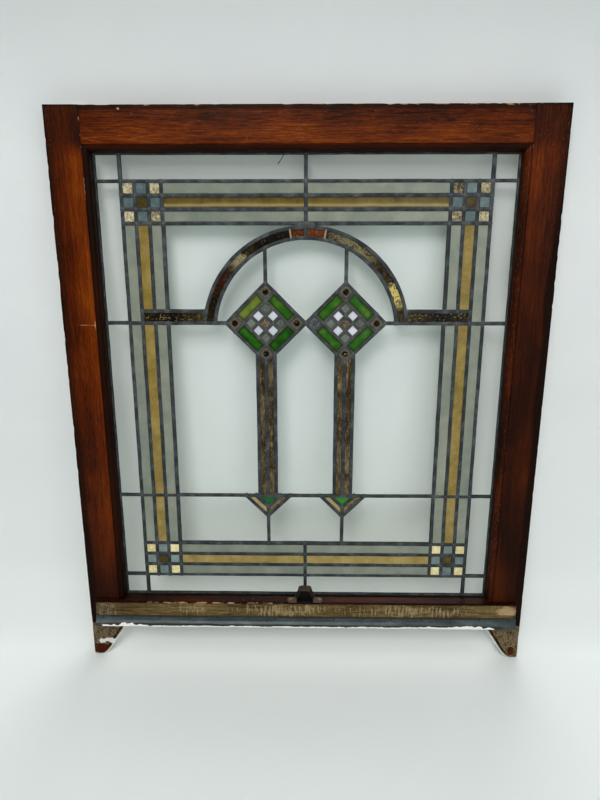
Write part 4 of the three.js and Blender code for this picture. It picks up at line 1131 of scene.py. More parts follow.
opal = glass_finish(
    "opal glass", colour(104, 120, 114), colour(138, 144, 132), colour(168, 169, 153), wisp=42, sharp=0.1,
)
amber = glass_finish(
    "amber glass", colour(86, 72, 32), colour(141, 121, 64), colour(188, 169, 112),
    wisp=26, wisps=0.8, grain=3, hammer=0.5, sharp=0.3,
)
green = glass_finish(
    "green glass", colour(8, 62, 6), colour(48, 106, 22), colour(124, 136, 64), wisp=14, wisps=1.3, sharp=0.1,
)
blue_opal = glass_finish("blue grey opal", colour(92, 108, 110), colour(152, 168, 164), wisp=9)
milk = glass_finish("milk glass", colour(184, 190, 200), colour(230, 234, 242), wisp=6, wisps=0.8)
dusk = glass_finish(
    "dark amber glass", colour(40, 33, 10), colour(108, 92, 40), wisp=8, wisps=1.2, hammer=0.6,
)
smoke = glass_finish(
    "smoky granite glass", colour(44, 36, 28), colour(112, 100, 82), colour(172, 158, 128),
    wisp=3, wisps=2.0, hammer=1.0, sharp=1.0,
)
beige = glass_finish(
    "granite glass", colour(66, 56, 38), colour(158, 146, 116), colour(226, 216, 182),
    wisp=4, wisps=1.8, grain=1.4, hammer=1.6, sharp=1.2,
)
# Bright gold granite for the lower corner blocks: its gold is a painted reflection.
gold = glass_finish(
    "gold granite", colour(184, 156, 92), colour(255, 248, 200),
    wisp=5, wisps=1.2, grain=1.6, hammer=1.0, sharp=1.0,
)
slate = glass_finish(
    "grey granite", colour(72, 78, 72), colour(136, 144, 134), wisp=3.5, wisps=1.4, hammer=0.9, sharp=0.9,
)
tips = glass_finish(
    "tan granite", colour(72, 58, 32), colour(192, 172, 124),
    wisp=5, wisps=1.2, grain=1.6, hammer=1.2, sharp=1.2,
)
emerald = glass_finish("emerald glass", colour(0, 86, 50), colour(66, 150, 44), wisp=8, wisps=0.4, sharp=0.1)
print("a coloured glass, such as", opal.name, "has", len(opal.node_tree.nodes), "nodes")

# %% Clear glass
def clear_finish(name, alpha, low, high):
    """Old window glass: faintly green, with pale specks, and with dust that dulls its gloss."""
    it = Finish(name, Alpha=alpha, IOR=1.5, Specular_IOR_Level=0.5)
    dusty = it.noise(40 * MM, 5, (1, 1, 2.5), wild=0.65)
    specks = it.noise(2 * MM, 3, shift=3.0, wild=0.7).step(0.68, 0.78)
    tint = it.mix(dusty, low, high)
    base = it.mix(specks * 0.5, tint, colour(130, 124, 110))
    it.feed(Base_Color=base, Roughness=dusty.step(0.45, 0.8) * 0.25 + 0.04)
    it.relief(it.noise(55 * MM, 2, (1, 1, 2)), 0.12, 1.0 * MM)
    return it.material


clear = clear_finish("clear window glass", 0.033, colour(186, 234, 212), colour(206, 250, 230))
# The margin's clear glass is darker and greyer than the field's: painted shade from the frame around it.
shaded_clear = clear_finish("shaded clear glass", 0.075, colour(96, 122, 116), colour(138, 164, 154))
clear_nodes = [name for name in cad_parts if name.startswith("field_")]
for name in clear_nodes:
    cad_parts[name].data.materials.clear()
    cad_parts[name].data.materials.append(clear)
print("clear panes that keep their CAD shape:", len(clear_nodes))

# %% The clear margin
glaze("margin_top_panes", [
    box_pane(-border_x, 0, border_top, edge_top), box_pane(0, border_x, border_top, edge_top),
], shaded_clear, ["margin_top"])
glaze("margin_bottom_panes", [
    box_pane(-border_x, 0, edge_bottom, border_bottom), box_pane(0, border_x, edge_bottom, border_bottom),
], shaded_clear, ["margin_bottom"])
for word, side in (("left", -1), ("right", 1)):
    heights = [border_top, mid_z, low_z, border_bottom]
    glaze(f"margin_{word}_panes", [
        box_pane(side * border_x, side * edge_x, low, high) for high, low in zip(heights, heights[1:])
    ], shaded_clear, [f"margin_{word}"])
    for place, low, high in (("top", border_top, edge_top), ("bottom", edge_bottom, border_bottom)):
        name, corner = f"margin_corner_{place}_{word}", box_pane(side * border_x, side * edge_x, low, high)
        glaze(f"{name}_pane", [corner], shaded_clear, [name])

# %% The border's strips
rows = [("top", border_top, -pitch), ("bottom", border_bottom, pitch)]
kinds = [
    ("opal_outer", opal, "opal_glass"), ("amber", amber, "amber_glass"), ("opal_inner", opal, "opal_glass"),
]
opal_tones = {"opal_outer": (-0.2, 0.2), "opal_inner": (-0.1, 0.3)}
amber_tones = {"top": (-1.5, -1.4), "bottom": (1.0, 1.1)}


def level_rim_shade(low, high):
    """A function of place for the mark `edge`: half painted shade along two level lines, and fading between
    them.
    """
    return lambda x, y, z: 0.5 * (bump(z, low, 5.5 * MM) + bump(z, high, 5.5 * MM))


for word, outer, inwards in rows:
    for n, (kind, finish, slot) in enumerate(kinds):
        low, high = outer + n * inwards, outer + (n + 1) * inwards
        halves = [box_pane(-field_x, 0, low, high, seed=n), box_pane(0, field_x, low, high, seed=n + 3)]
        tones = amber_tones[word] if kind == "amber" else opal_tones[kind]
        pale = rims = None
        # The top amber strip gets a painted reflection line and painted shade along its two leads.
        if (word, kind) == ("top", "amber"):
            pale, rims = high + pitch * 0.3, level_rim_shade(low, high)
        glaze(f"{word}_{kind}_strips", halves, finish, [f"border_{word}_{kind}"], tones, pale, rims)
for word, side in (("left", -1), ("right", 1)):
    def upright(n, *heights):
        """The strip that is n lines in from the border's outer line, cut at the given heights."""
        x0, x1 = side * (border_x - n * pitch), side * (border_x - (n + 1) * pitch)
        return [box_pane(x0, x1, low, high, seed=n + 5) for high, low in zip(heights, heights[1:])]

    name = f"border_{word}_opal_outer"
    strips = upright(0, field_top, mid_z, low_z, field_bottom)
    glaze(f"{word}_opal_outer_strips", strips, opal, [name], [0.2, 0.0, 0.4])
    for n, (kind, finish, slot) in list(enumerate(kinds))[1:]:
        name = f"border_{word}_{kind}"
        strips = upright(n, field_top, bar_top)
        glaze(f"{word}_{kind}_upper_strip", strips, finish, [f"{name}_upper"], [0.3])
        strips = upright(n, mid_z, low_z, field_bottom)
        glaze(f"{word}_{kind}_lower_strips", strips, finish, [f"{name}_lower"], [0.3, 0.5])

# %% [markdown]
# ## The small squares
#
# Where the border's strips cross, nine small squares make a checker: granite glass at the corners, grey
# opal at the sides and dark amber in the middle. The lower blocks' granite is paler and bright gold, which
# is a painted reflection, and the upper opal is darker.

# %% Corner blocks
UPPER_OPAL_SHADE = 1.3  # how much darker the upper blocks' opal is, as a tone
granite_tones = {("top", "left"): (0.6, 0.5, 1.1, -0.2), ("top", "right"): (0.0, -1.5, 0.6, -0.5)}
for word, outer, inwards in rows:
    looks = {"granite": beige if word == "top" else gold, "opal": blue_opal, "amber": dusk}
    for hand, side in (("left", -1), ("right", 1)):
        groups = {"granite": [], "opal": [], "amber": []}
        for row in range(3):
            for column in range(3):
                kind = ("granite", "opal", "amber")[(row == 1) + (column == 1)]
                x0, z0 = side * (border_x - column * pitch), outer + row * inwards
                look = {"ripple": 0.3, "size": (5, 5), "seed": row + 3 * column}
                groups[kind].append(box_pane(x0, x0 - side * pitch, z0, z0 + inwards, **look))
        for kind, panes in groups.items():
            tones = None
            if kind == "granite":
                tones = granite_tones.get((word, hand), (0.3, 0.8, -0.1, 0.9))
            if kind == "opal":
                tones = chance.uniform(-1, 1, len(panes)) - (UPPER_OPAL_SHADE if word == "top" else 0)
            node = [f"corner_block_{word}_{hand}"]
            glaze(f"corner_{word}_{hand}_{kind}", panes, looks[kind], node, tones)

# %% [markdown]
# ## The diamonds
#
# Each diamond is a small grid that stands on its corner: four green bars, a chamfered jewel at each
# corner, and nine squares in the middle: grey and milk white in turn, and a smoky tan one at the centre.

# %% Diamonds
def jewel_finish():
    """A pale chipped rim around a near-black centre with painted glints, from the marks that each point
    carries.
    """
    it = Finish("smoky jewel", Specular_IOR_Level=0.15, Coat_Weight=0.04, Coat_Roughness=0.04)
    chips, swirl = it.noise(2.0 * MM, 4, wild=0.75), it.noise(3.2 * MM, 3, shift=2.0, wild=0.7)
    rim = it.mix(chips.step(0.35, 0.65), colour(74, 68, 58), colour(132, 124, 106))
    # The centre's palest colours are painted glints.
    heart = swirl.ramp(
        (0.3, colour(8, 6, 4)), (0.55, colour(18, 13, 8)), (0.64, colour(96, 74, 40)),
        (0.72, colour(236, 224, 190)),
    )
    centre = (it.mark("centre") + (chips - 0.5) * 1.3).step(0.42, 0.52)
    base = it.mix(centre, rim, heart)
    grey = it.mix(chips.step(0.4, 0.6), colour(58, 62, 66), colour(120, 124, 126))
    base = it.mix(it.mark("grey") * 0.8, base, grey)
    it.feed(Base_Color=base, Roughness=(1 - centre) * 0.3 + 0.12)
    it.relief(chips, 0.7, 0.7 * MM)
    return it.material


jewel = jewel_finish()
whole, third = lattice_half, lattice_ring / 3
far, near, span = (lattice_ring, whole), (-whole, -lattice_ring), (-lattice_ring, lattice_ring)
jewel_reach = (whole + lattice_ring) / 2 * math.sqrt(2)


def rim_shade_of(side, panes):
    """A function of place for the mark `edge`, which paints shade: 1 on the rims of a diamond's panes, 0 from
    7 mm in.
    """
    def mark(x, y, z):
        """The deepest that a place lies inside any pane, turned into 1 on its rim and 0 inside."""
        root, x, z = math.sqrt(0.5), x - side * diamond_x, z - mid_z
        along, across = (x + z) * root, (z - x) * root
        depths = [
            np.minimum(np.minimum(along - a0, a1 - along), np.minimum(across - c0, c1 - across))
            for (a0, a1), (c0, c1) in panes
        ]
        return 1 - step(np.max(depths, axis=0), 1.8 * MM, 7.5 * MM)
    return mark


for word, side in (("left", -1), ("right", 1)):
    node = [f"diamond_{word}"]
    bar_spans = [(span, far), (far, span), (span, near), (near, span)]
    bars = [turned_pane(side, *spans, seed=n) for n, spans in enumerate(bar_spans)]
    tones = (2.0, 0.1, -0.7, -0.2) if side < 0 else (0.3, 0.0, -0.1, 0.0)
    glaze(f"diamond_{word}_green_bars", bars, green, node, tones, edge=rim_shade_of(side, bar_spans))
    corner_spans = [(far, far), (far, near), (near, far), (near, near)]
    shape = together([turned_pane(side, *spans, fineness=1.4, crown=0.5) for spans in corner_spans])
    x, z = shape[0][:, X] - side * diamond_x, shape[0][:, Z] - mid_z
    places = [(a * jewel_reach, b * jewel_reach) for a, b in ((0, 1), (1, 0), (-1, 0), (0, -1))]
    centre = sum(bump(np.hypot(x - a, z - b), 0, 5.6 * MM) for a, b in places)
    grey = (x < -0.6 * jewel_reach) * (side > 0)
    make(f"diamond_{word}_jewels", shape, jewel, node, {"centre": centre, "grey": grey})
    squares = {"gold": [], "milk": [], "slate": []}
    for row in (-1, 0, 1):
        for column in (-1, 0, 1):
            kind = ("gold", "milk", "slate")[abs(row) + abs(column)]
            spans = [((2 * n - 1) * third, (2 * n + 1) * third) for n in (row, column)]
            look = {"ripple": 0.3, "size": (4, 4), "fineness": 1.4, "seed": row + column}
            squares[kind].append(turned_pane(side, *spans, **look))
    for kind, finish in (("milk", milk), ("slate", slate), ("gold", smoke)):
        glaze(f"diamond_{word}_{kind}_squares", squares[kind], finish, node)

# %% [markdown]
# ## The arch, its bars and the stems
#
# These are cut from one sheet of streaky glass, black, brown and tan. Its gold specks and the bright gold
# band low on the arch's right side are painted reflections. What shows differs from place to place, so each
# point is marked with how far along its piece it lies, and the finish turns that mark into the sheet's
# colours, broken up by noise.

# %% Streaky glass
def streaky_finish(name, *stops, grain, tears=0.16, stretch=(1, 1, 1), speckle=0.75, glints=0.45):
    """Colours along a piece, from the mark `along`, torn by noise and speckled with black and with pale gold
    glints, which are painted reflections.
    """
    it = Finish(name, Roughness=0.2, Specular_IOR_Level=0.14, Coat_Weight=0.04, Coat_Roughness=0.05)
    tear = it.noise(grain * 3 * MM, 4, stretch, shift=1.0, wild=0.7)
    speck = it.noise(grain * MM, 4, stretch, shift=6.0, wild=0.7)
    glint = it.noise(grain * 0.8 * MM, 3, stretch, shift=11.0, wild=0.7)
    base = (it.mark("along") + (tear - 0.5) * tears * 2 + (speck - 0.5) * tears).ramp(*stops)
    dark = (speck + (tear - 0.5) * 0.5).step(0.47, 0.58)
    # Painted glints: pale gold specks that stand for reflections.
    light = (glint + (0.5 - tear) * 0.4).step(0.56, 0.66)
    base = it.mix(dark * speckle, base, colour(20, 15, 9))
    base = it.mix(light * glints, base, colour(176, 160, 116))
    it.feed(Base_Color=base)
    it.relief(speck * 0.6 + tear * 0.5, 0.6, 0.9 * MM)
    return it.material


black, umber, tan = colour(22, 20, 12), colour(54, 46, 28), colour(150, 140, 112)
red_brown, olive = colour(70, 30, 16), colour(70, 66, 40)
reflected_gold, dun = colour(212, 194, 122), colour(126, 118, 90)
left_streaks = streaky_finish(
    "streaky glass, left of the arch", (0.0, umber), (0.14, black), (0.3, red_brown), (0.4, umber),
    (0.46, tan), (0.51, tan), (0.56, umber), (0.68, black), (1.0, colour(26, 28, 18)),
    tears=0.08, grain=3.0, speckle=0.5, glints=0.16,
)
# The bright gold band low on the right is a painted reflection.
right_streaks = streaky_finish(
    "streaky glass, right of the arch", (0.0, olive), (0.1, olive), (0.14, reflected_gold), (0.24, reflected_gold),
    (0.28, umber), (0.44, umber), (0.54, dun), (0.78, dun), (0.86, umber), (1.0, colour(44, 44, 28)),
    tears=0.1, grain=2.4, speckle=0.85, glints=0.3,
)
dark_streaks = streaky_finish(
    "streaky glass in the bars", (0.0, umber), (0.5, black), (1.0, colour(84, 74, 44)),
    grain=3.0, stretch=(1.6, 1, 1),
)
brown_streaks = streaky_finish(
    "streaky brown glass", (0.0, colour(78, 64, 42)), (0.35, colour(124, 106, 76)), (0.6, colour(66, 52, 34)),
    (1.0, colour(136, 120, 92)), grain=2.8, stretch=(1, 1, 3.4), speckle=0.55,
)
orange = streaky_finish(
    "orange granite glass", (0.0, colour(62, 28, 10)), (0.6, colour(112, 56, 24)), (1.0, colour(138, 78, 40)),
    tears=0.3, grain=2.6, speckle=0.4,
)


def streaked(name, node, panes, finish, along):
    """Panes of streaky glass: `along` turns their points into the mark from 0 to 1."""
    shape = together(panes)
    return make(name, shape, finish, [node], {"along": along(*shape[0].T)})


def band(start, end, **look):
    """A piece of the arch's band between two angles from the vertical, less the kerf all round."""
    trim = KERF / band_middle
    angles = np.linspace(start + trim, end - trim, round((end - start) * band_middle / (2.2 * MM)))
    inner, outer = (
        np.column_stack([r * np.sin(angles), arch_z + r * np.cos(angles)])
        for r in (ARCH_INNER + KERF, ARCH_OUTER - KERF)
    )
    return pane(inner, outer, ripple=0.35, size=(7, 7), fineness=1.6, **look)


def from_foot(x, y, z):
    """0 at the arch's foot and 1 at its crown."""
    return 1 - np.abs(np.arctan2(x, z - arch_z)) / arch_foot


streaked("arch_left_pane", "arch_left", [band(-arch_foot, key_left)], left_streaks, from_foot)
streaked("arch_right_pane", "arch_right", [band(key_right, arch_foot)], right_streaks, from_foot)
crown_bands = [band(key_left, 0), band(0, key_right)]
streaked("arch_crown_panes", "arch_crown", crown_bands, orange,
         lambda x, y, z: 0.5 + 0.12 * np.sign(x))

# %% Bars, stems and arrow tips
BAR_FOOT = 160 * MM  # where the bars meet the arch


def between(first, last, count):
    """Even points (x, z) from one place to another."""
    t = np.linspace(0, 1, count)[:, None]
    return np.array(first) * (1 - t) + np.array(last) * t


def bar_pane(side):
    """The pane of a bar beside the arch: its inner end follows the arch's curve."""
    z = np.linspace(mid_z + KERF, bar_top - KERF, 9)
    curved = np.column_stack([side * (arch_x(ARCH_OUTER, z) + KERF), z])
    straight_end = np.column_stack([np.full(9, side * (bar_end - KERF)), z])
    bottom, top = (between(curved[n], straight_end[n], 46) for n in (0, -1))
    return pane(bottom, top, ripple=0.35, size=(6, 6), fineness=1.8)


def stem_pane(side, hand):
    """One of a stem's two strips: its top is cut at a slant where it meets the diamond."""
    centre, shoulder = side * diamond_x, mid_z - diamond_half + stem_half
    z = np.linspace(low_z + KERF, shoulder - KERF, 92)
    inner_z = z - (stem_half - 2 * KERF) * step(z, shoulder - 14 * MM, shoulder - KERF)
    inner, outer = centre + hand * KERF, centre + hand * (stem_half - KERF)
    edges = [np.column_stack([np.full(92, inner), inner_z]), np.column_stack([np.full(92, outer), z])]
    return pane(*edges, ripple=0.35, size=(5, 14), fineness=2.0, seed=hand + side)


def tip_triangle(centre):
    """The green triangle inside an arrow tip, from its level edge down to its point."""
    inner, top, point = TIP_INNER - KERF, low_z - KERF, low_z - TIP_INNER + KERF * 1.4
    edges = [
        between((centre - reach, z), (centre + reach, z), 16)
        for reach, z in ((inner - KERF, top), (0.2 * MM, point))
    ]
    return pane(*edges, fineness=1.6)


def tip_wing(centre, hand):
    """One of the two strips that make an arrow tip's chevron, between its outer and inner lead."""
    middle, top, outer, inner = centre + hand * KERF, low_z - KERF, 2.6 * KERF, 1.6 * KERF
    outer_edge = between((centre + hand * (tip_outer - outer), top), (middle, low_z - tip_outer + outer), 18)
    inner_edge = between((centre + hand * (TIP_INNER + inner), top), (middle, low_z - TIP_INNER - inner), 18)
    return pane(outer_edge, inner_edge, ripple=0.3, size=(4, 4), fineness=1.6, seed=hand)


for word, side in (("left", -1), ("right", 1)):
    streaked(f"arch_bar_{word}_pane", f"arch_bar_{word}", [bar_pane(side)], dark_streaks,
             lambda x, y, z: (bar_end - np.abs(x)) / (bar_end - BAR_FOOT))
    strips = [stem_pane(side, hand) for hand in (-1, 1)]
    streaked(f"stem_{word}_strips", f"stem_{word}", strips, brown_streaks,
             lambda x, y, z: 0.5 + 0.5 * noise(spread(x, y, z), (0.02, 1, 0.05), 5 + side))
    centre, node = side * diamond_x, [f"arrow_tip_{word}"]
    green_tone = [-1.6 if side < 0 else 1.1]
    glaze(f"arrow_tip_{word}_green", [tip_triangle(centre)], emerald, node, green_tone)
    wings = [tip_wing(centre, hand) for hand in (-1, 1)]
    glaze(f"arrow_tip_{word}_wings", wings, tips, node, [1.2, -1.0])

# %% [markdown]
# ## Putty and zinc
#
# Putty fills the rebate behind the panel. It is pressed in with a thumb and drawn off with a knife, so it
# is a sloping bead with soft dents. In front, a little of it has squeezed out and gone black; its near-black
# colour also paints the shade along the glass's edge. The zinc strip below is one folded section, nailed to
# the meeting rail's front every two inches.

# %% Putty
def loop_around(out):
    """Points around the glass opening, `out` metres outside the wood's sight line, with mitred corners.
    They are about 4 mm apart, and their number doesn't depend on `out`."""
    spacing = 4 * MM
    x, top, bottom = sight_x + out, sight_top + out, ledge_z - out
    corners = np.array([(-x, bottom), (x, bottom), (x, top), (-x, top)])
    counts = [round(2 * sight_x / spacing), round((sight_top - ledge_z) / spacing)] * 2
    sides = [a + (b - a) * np.linspace(0, 1, n, endpoint=False)[:, None]
             for a, b, n in zip(corners, np.roll(corners, -1, axis=0), counts)]
    return np.concatenate(sides)


def bead(points, seed, amount):
    """A closed ring of putty: (out, y, softness) points carried around the opening, the soft ones dented."""
    outward = loop_around(1.0) - loop_around(0.0)
    rows = []
    for out, y, soft in points:
        flat = loop_around(out * MM)
        shift = soft * amount * rough(spread(flat[:, 0], y * MM, flat[:, 1]), 0.012, seed) * MM
        flat = flat + outward * shift[:, None]
        rows.append(spread(flat[:, 0], y * MM + shift, flat[:, 1]))
    return shell(np.stack(rows, axis=1), closed=True)


def putty_finish(name, low, high):
    """Dry putty between two colours, with soil in its cracks."""
    it = Finish(name, Roughness=0.85)
    cloud, cracks = it.noise(16 * MM, 4, wild=0.65), it.noise(3 * MM, 4, shift=3.0, wild=0.75)
    base = it.mix(cloud, low, high)
    it.feed(Base_Color=it.mix(cracks.step(0.6, 0.72) * 0.6, base, colour(70, 60, 48)))
    it.relief(cracks, 0.6, 0.6 * MM)
    return it.material


old_putty = putty_finish("old putty", colour(176, 168, 146), colour(214, 208, 190))
# Near-black putty, which also paints the shade along the glass's edge.
dirty_putty = putty_finish("blackened putty", colour(16, 14, 12), colour(52, 44, 36))
wall, crest = REBATE - 0.3, BACK - 1.6
start_y = lead_back / MM + 0.3
back_bead = [
    (wall, start_y, 0), (wall, crest, 0), (wall - 2.5, crest - 3.0, 1), (wall - 5, start_y + 3.2, 1),
    (wall - 7, start_y + 1.0, 1), (wall - 7, start_y, 0),
]
make("glazing_putty_bead", bead(back_bead, 131, 0.35), old_putty, ["glazing_putty"])
front_bead = [(0.6, 0.2, 0), (0.6, 1.3, 0), (-1.2, 1.6, 1), (-1.4, 1.0, 1), (-0.4, 0.3, 1)]
make("squeezed_putty_line", bead(front_bead, 133, 0.9), dirty_putty)

# %% The folded zinc strip
STRIP_TOP, STRIP_BEND, STRIP_NOSE, STRIP_FOOT = -828.0, -836.0, -841.0, -846.0
SHEET, STRIP_LIP, STRIP_GAP = 1.2, 5.0, 0.3
NAIL_PITCH, NAIL_Z, NAIL_RADIUS, NAIL_RISE = 50.8, -831.5, 1.45, 0.8


def zinc_finish():
    """Dull zinc: blue-grey, mottled with stains, with painted shade on the lip's lower half and a painted
    shadow line along its top, and white paint on its foot, by marks and by noise.
    """
    it = Finish("weathered zinc", Specular_IOR_Level=0.3)
    cloud, grit = it.noise(26 * MM, 4, (2.5, 1, 1), wild=0.65), it.noise(2.2 * MM, 4, shift=3.0, wild=0.7)
    sheet = (cloud * 0.8 + grit * 0.3).ramp(
        (0.3, colour(44, 50, 52)), (0.55, colour(74, 82, 84)), (0.8, colour(112, 120, 122)),
    )
    stain = (it.mark("stain") + (cloud - 0.5) * 1.4 + (grit - 0.5) * 0.5).step(0.3, 0.75)
    base = it.mix(stain * 0.85, sheet, it.mix(grit, colour(26, 26, 26), colour(74, 68, 60)))
    paint = (it.mark("paint") + (grit - 0.5) * 0.9).step(0.42, 0.6)
    base = it.mix(paint, base, colour(244, 243, 238))
    metal = (1 - paint) * (0.4 - stain * 0.3)
    it.feed(Base_Color=base, Roughness=stain * 0.25 + paint * 0.2 + 0.4, Metallic=metal)
    it.relief(grit * 0.5 + cloud * 0.4, 0.4, 0.5 * MM)
    return it.material


def on(z, out):
    """A corner (y, z) of the strip: at height z, `out` millimetres in front of the rail."""
    return rail_front(z) - STRIP_GAP - out, z


def strip_shape():
    """The folded section at each place along the rail, pressed in by small dents."""
    inside = STRIP_LIP - SHEET
    outline = section([
        (*on(STRIP_TOP, 0), 0, 3), (*on(STRIP_FOOT, 0), 0, 1), (*on(STRIP_FOOT, SHEET), 0, 2),
        (*on(STRIP_BEND - 2 * SHEET, SHEET), 0.8, 1.5), (*on(STRIP_NOSE - SHEET / 2, inside), 0.8, 1.5),
        (*on(STRIP_FOOT, inside), 0.2, 1), (*on(STRIP_FOOT, STRIP_LIP), 0.3, 1.2),
        (*on(STRIP_NOSE, STRIP_LIP), 1.4, 1.2), (*on(STRIP_BEND, SHEET), 1.4, 1.2),
        (*on(STRIP_TOP, SHEET), 0.4, 1),
    ])
    along = stops(-LAP_END * MM, LAP_END * MM, 2.4 * MM)
    spots = spread(along[:, None], outline[None, :, 0], outline[None, :, 1])
    lip = step(-spots[..., 2], 0.833, 0.845)
    dents = np.clip(rough(spots * [1, 0, 0] + [0, 0, 0.1], 0.03, 141), 0, 1) * 1.6 * MM * lip
    spots[..., 1] += dents + 0.15 * MM * (1 + noise(spots, 0.01, 143))
    return shell(spots)


def nail_head(x, z):
    """A low dome on the zinc, a little off its line."""
    around = np.linspace(0, 2 * math.pi, 12, endpoint=False)
    reach = np.array([1.0, 1.0, 0.8, 0.45, 0.02])[:, None] * NAIL_RADIUS * MM
    rise = np.array([-0.3, 0.3, 0.7, 0.95, 1.0])[:, None] * NAIL_RISE * MM
    level = (rail_front(z / MM) - STRIP_GAP - SHEET + 0.35) * MM
    return shell(spread(x + reach * np.cos(around), level - rise, z + reach * np.sin(around)))


zinc = zinc_finish()
shape = strip_shape()
x, y, z = shape[0].T
ends = step(np.abs(x), 0.335, 0.352)
# Painted shade on the lip's lower half, which turns away from the light, and a painted shadow line along the
# strip's top edge.
stain = 0.75 * step(-z, 0.8395, 0.8415) + 0.8 * bump(z, -0.829, 2.2 * MM)
stain = (stain + 0.3 * noise(shape[0], (0.06, 1, 0.02), 3)) * (1 - 0.6 * ends)
flaked = rough(shape[0], (0.008, 1, 0.006), 5)
LUMPS = [(3.6, 0.275, 0.042), (2.6, -0.312, 0.022), (1.0, -0.355, 0.008)]  # height in mm, place, width
crust = sum(high * bump(x, place, wide) for high, place, wide in LUMPS) * (1 + 0.5 * flaked)
painted = step(x, -0.362, -0.350) * step(-x, -0.335, -0.325)
paint = step(-z + (flaked * 1.1 + crust) * MM, 0.8432, 0.8444) * painted
make("zinc_weatherstrip", shape, zinc, ["weatherstrip"], {"stain": stain, "paint": paint})
iron_spot = Finish("rusty nail heads", Metallic=0.4, Roughness=0.7)
iron_spot.feed(Base_Color=iron_spot.mix(iron_spot.noise(1.5 * MM), colour(26, 18, 14), colour(84, 58, 40)))
chance = np.random.default_rng(19)
nails = []
for n in range(-7, 8):
    nail_x = n * NAIL_PITCH + chance.uniform(-2, 2)
    nails.append(nail_head(nail_x * MM, (NAIL_Z + chance.uniform(-0.8, 0.8)) * MM))
make("weatherstrip_nails", together(nails), iron_spot.material)

# %% [markdown]
# ## The lock's keeper
#
# The hood that the sash lock turns into is a small iron casting on the ledge. Its construction is already
# right in the CAD model, so its mesh is copied, merged and bevelled, and gets a rusty finish, with
# painted light on its crown and painted shade low down.

# %% The keeper and its screws
def softened(name, node, material, width):
    """A copy of a CAD node's mesh: merged, its flat faces made whole again, and bevelled by a modifier."""
    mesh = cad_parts[node].data.copy()
    clean = bmesh.new()
    clean.from_mesh(mesh)
    bmesh.ops.remove_doubles(clean, verts=clean.verts, dist=1e-6)
    bmesh.ops.dissolve_limit(clean, angle_limit=math.radians(3), verts=clean.verts, edges=clean.edges)
    clean.to_mesh(mesh)
    clean.free()
    mesh.shade_smooth()
    mesh.materials.clear()
    mesh.materials.append(material)
    thing = dress(name, mesh, [node])
    bevel = thing.modifiers.new("worn edges", "BEVEL")
    bevel.width, bevel.segments, bevel.harden_normals = width, 3, False
    bevel.limit_method, bevel.angle_limit = "ANGLE", math.radians(35)
    print(name, "has", len(mesh.polygons), "faces before its bevel")
    return thing


def iron_finish():
    """Dark brown cast iron, with a grey-brown bloom, painted light on its crown and painted shade near its
    foot.
    """
    it = Finish("brown cast iron", Metallic=0.35, Roughness=0.6)
    cloud, grit = it.noise(7 * MM, 4, wild=0.7), it.noise(1.2 * MM, 4, shift=3.0, wild=0.7)
    height = it.node("SeparateXYZ", {0: it.place}, output=2)
    # The crown is made paler: painted light from above.
    crown = (height + (cloud - 0.5) * 0.01).step(ledge_z + 0.021, ledge_z + 0.027)
    out = it.maths("ABSOLUTE", it.node("SeparateXYZ", {0: it.place}, output=0))
    ears = out.step(0.013, 0.0155) * (1 - height.step(ledge_z + 0.006, ledge_z + 0.010))
    base = it.mix(cloud * 0.7 + grit * 0.3, colour(18, 10, 7), colour(48, 31, 22))
    base = it.mix(crown * 0.6, base, colour(108, 90, 76))
    # Near black low down: painted shade under the hood.
    base = it.mix((1 - height.step(ledge_z + 0.002, ledge_z + 0.017)) * 0.85, base, colour(8, 6, 5))
    base = it.mix(ears * 0.7, base, it.mix(grit, colour(62, 50, 42), colour(150, 134, 116)))
    base = it.mix(grit.step(0.62, 0.7) * 0.5, base, colour(150, 140, 126))
    it.feed(Base_Color=base, Roughness=0.75 - crown * 0.25)
    it.relief(grit * 0.6 + cloud * 0.5, 0.6, 0.5 * MM)
    return it.material


iron = iron_finish()
softened("lock_keeper_casting", "lock_keeper", iron, 0.8 * MM)
screw = Finish("dull brass screws", Metallic=0.7, Roughness=0.45)
screw.feed(Base_Color=screw.mix(screw.noise(1.5 * MM, 4), colour(84, 70, 52), colour(158, 144, 112)))
for word in ("left", "right"):
    softened(f"keeper_screw_{word}_worn", f"keeper_screw_{word}", screw.material, 0.2 * MM)

# %% [markdown]
# ## The plain room
#
# The sash leans back against a pale wall, so in its own frame the room is tilted. One sheet makes the
# floor, a soft cove and the wall. Only its near side is drawn, so that a view from behind looks through
# it.

# %% Floor, wall and light
LEAN = math.radians(5.5)
COVE, ROOM_HALF, FLOOR_REACH, WALL_HIGH = 0.12, 3.5, 4.5, 3.2


def room_sheet():
    """The floor, a quarter round and the wall in one profile, turned by the sash's lean about its foot."""
    gap = 0.02 + abs(foot_z) * math.tan(LEAN)
    corner = np.radians(np.linspace(0, 90, 13))
    curve = np.column_stack([gap - COVE + COVE * np.sin(corner), COVE - COVE * np.cos(corner)])
    profile = np.concatenate([[[-FLOOR_REACH, 0]], curve, [[gap, WALL_HIGH]]])
    turn = np.array([[math.cos(LEAN), -math.sin(LEAN)], [math.sin(LEAN), math.cos(LEAN)]])
    profile = profile @ turn.T + [0, foot_z]
    return spread(np.array([[-ROOM_HALF], [ROOM_HALF]]), profile[None, :, 0], profile[None, :, 1])


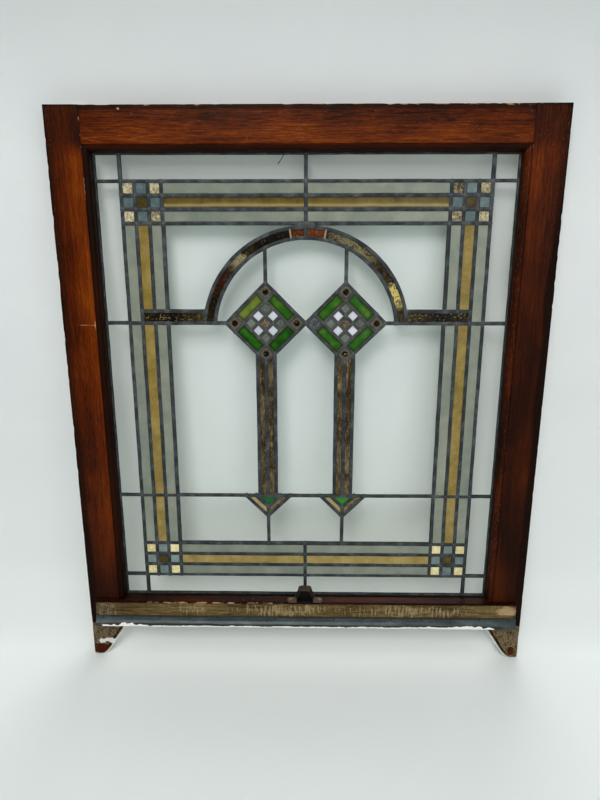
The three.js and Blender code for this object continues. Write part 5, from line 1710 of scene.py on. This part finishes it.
def room_finish():
    """Matt white with a faint mottle, darker high on the wall and lighter low down as painted shade and
    painted light, and see-through from behind.
    """
    it = Finish("pale wall and floor", Roughness=0.9)
    mottle = it.noise(0.12, 4)
    height = it.node("SeparateXYZ", {0: it.place}, output=2)
    painted = it.mix(mottle, colour(226, 229, 230), colour(236, 239, 239))
    # Darker high up and lighter low down: painted shade and painted light on the backdrop.
    painted = it.mix(height.step(-0.15, 0.3), painted, colour(190, 196, 196))
    painted = it.mix(1 - height.step(-0.85, -0.35), painted, colour(238, 242, 241))
    it.feed(Base_Color=painted)
    behind = it.node("NewGeometry", output="Backfacing")
    clear_side = it.node("BsdfTransparent")
    solid_side = Wire(it.tree, it.shader.outputs[0])
    both = it.node("MixShader", {0: behind, 1: solid_side, 2: clear_side})
    it.tree.links.new(both.socket, it.tree.nodes["Material Output"].inputs["Surface"])
    return it.material


rings = room_sheet()
index = np.arange(rings.shape[0] * rings.shape[1]).reshape(rings.shape[:2])
quads = np.stack([index[0, :-1], index[1, :-1], index[1, 1:], index[0, 1:]], axis=-1)
room_mesh = bpy.data.meshes.new("room")
room_mesh.from_pydata(rings.reshape(-1, 3).tolist(), [], quads.tolist())
room_mesh.shade_smooth()
room_mesh.materials.append(room_finish())
room = bpy.data.objects.new("room", room_mesh)
bpy.context.scene.collection.objects.link(room)


def area_light(name, place, target, size, power, tint=(1, 1, 1)):
    """A square soft box at `place` that faces `target`."""
    data = bpy.data.lights.new(name, "AREA")
    data.size, data.energy, data.color = size, power, tint
    lamp = bpy.data.objects.new(name, data)
    lamp.location = place
    lamp.rotation_euler = (Vector(target) - Vector(place)).to_track_quat("-Z", "Y").to_euler()
    bpy.context.scene.collection.objects.link(lamp)
    return lamp


area_light("window light", (-0.35, -2.2, 1.1), (0, 0, -0.45), 0.9, 22, (1.0, 1.0, 0.98))
area_light("fill light", (1.2, -2.6, 0.05), (0.1, 0, -0.45), 2.0, 11, (0.98, 1.0, 1.0))
area_light("ceiling light", (0, -1.6, 2.0), (0, -0.7, -0.914), 1.8, 16)
area_light("light from behind", (0.6, 2.4, 0.8), (0, 0, -0.45), 2.0, 30)
room.visible_shadow = False
world = bpy.data.worlds.new("pale world")
world.use_nodes = True
world.node_tree.nodes["Background"].inputs["Color"].default_value = (0.95, 1.0, 0.985, 1)
world.node_tree.nodes["Background"].inputs["Strength"].default_value = 0.2
scene = bpy.context.scene
scene.world = world
scene.view_settings.view_transform = "Standard"
scene.view_settings.look = "Medium High Contrast"
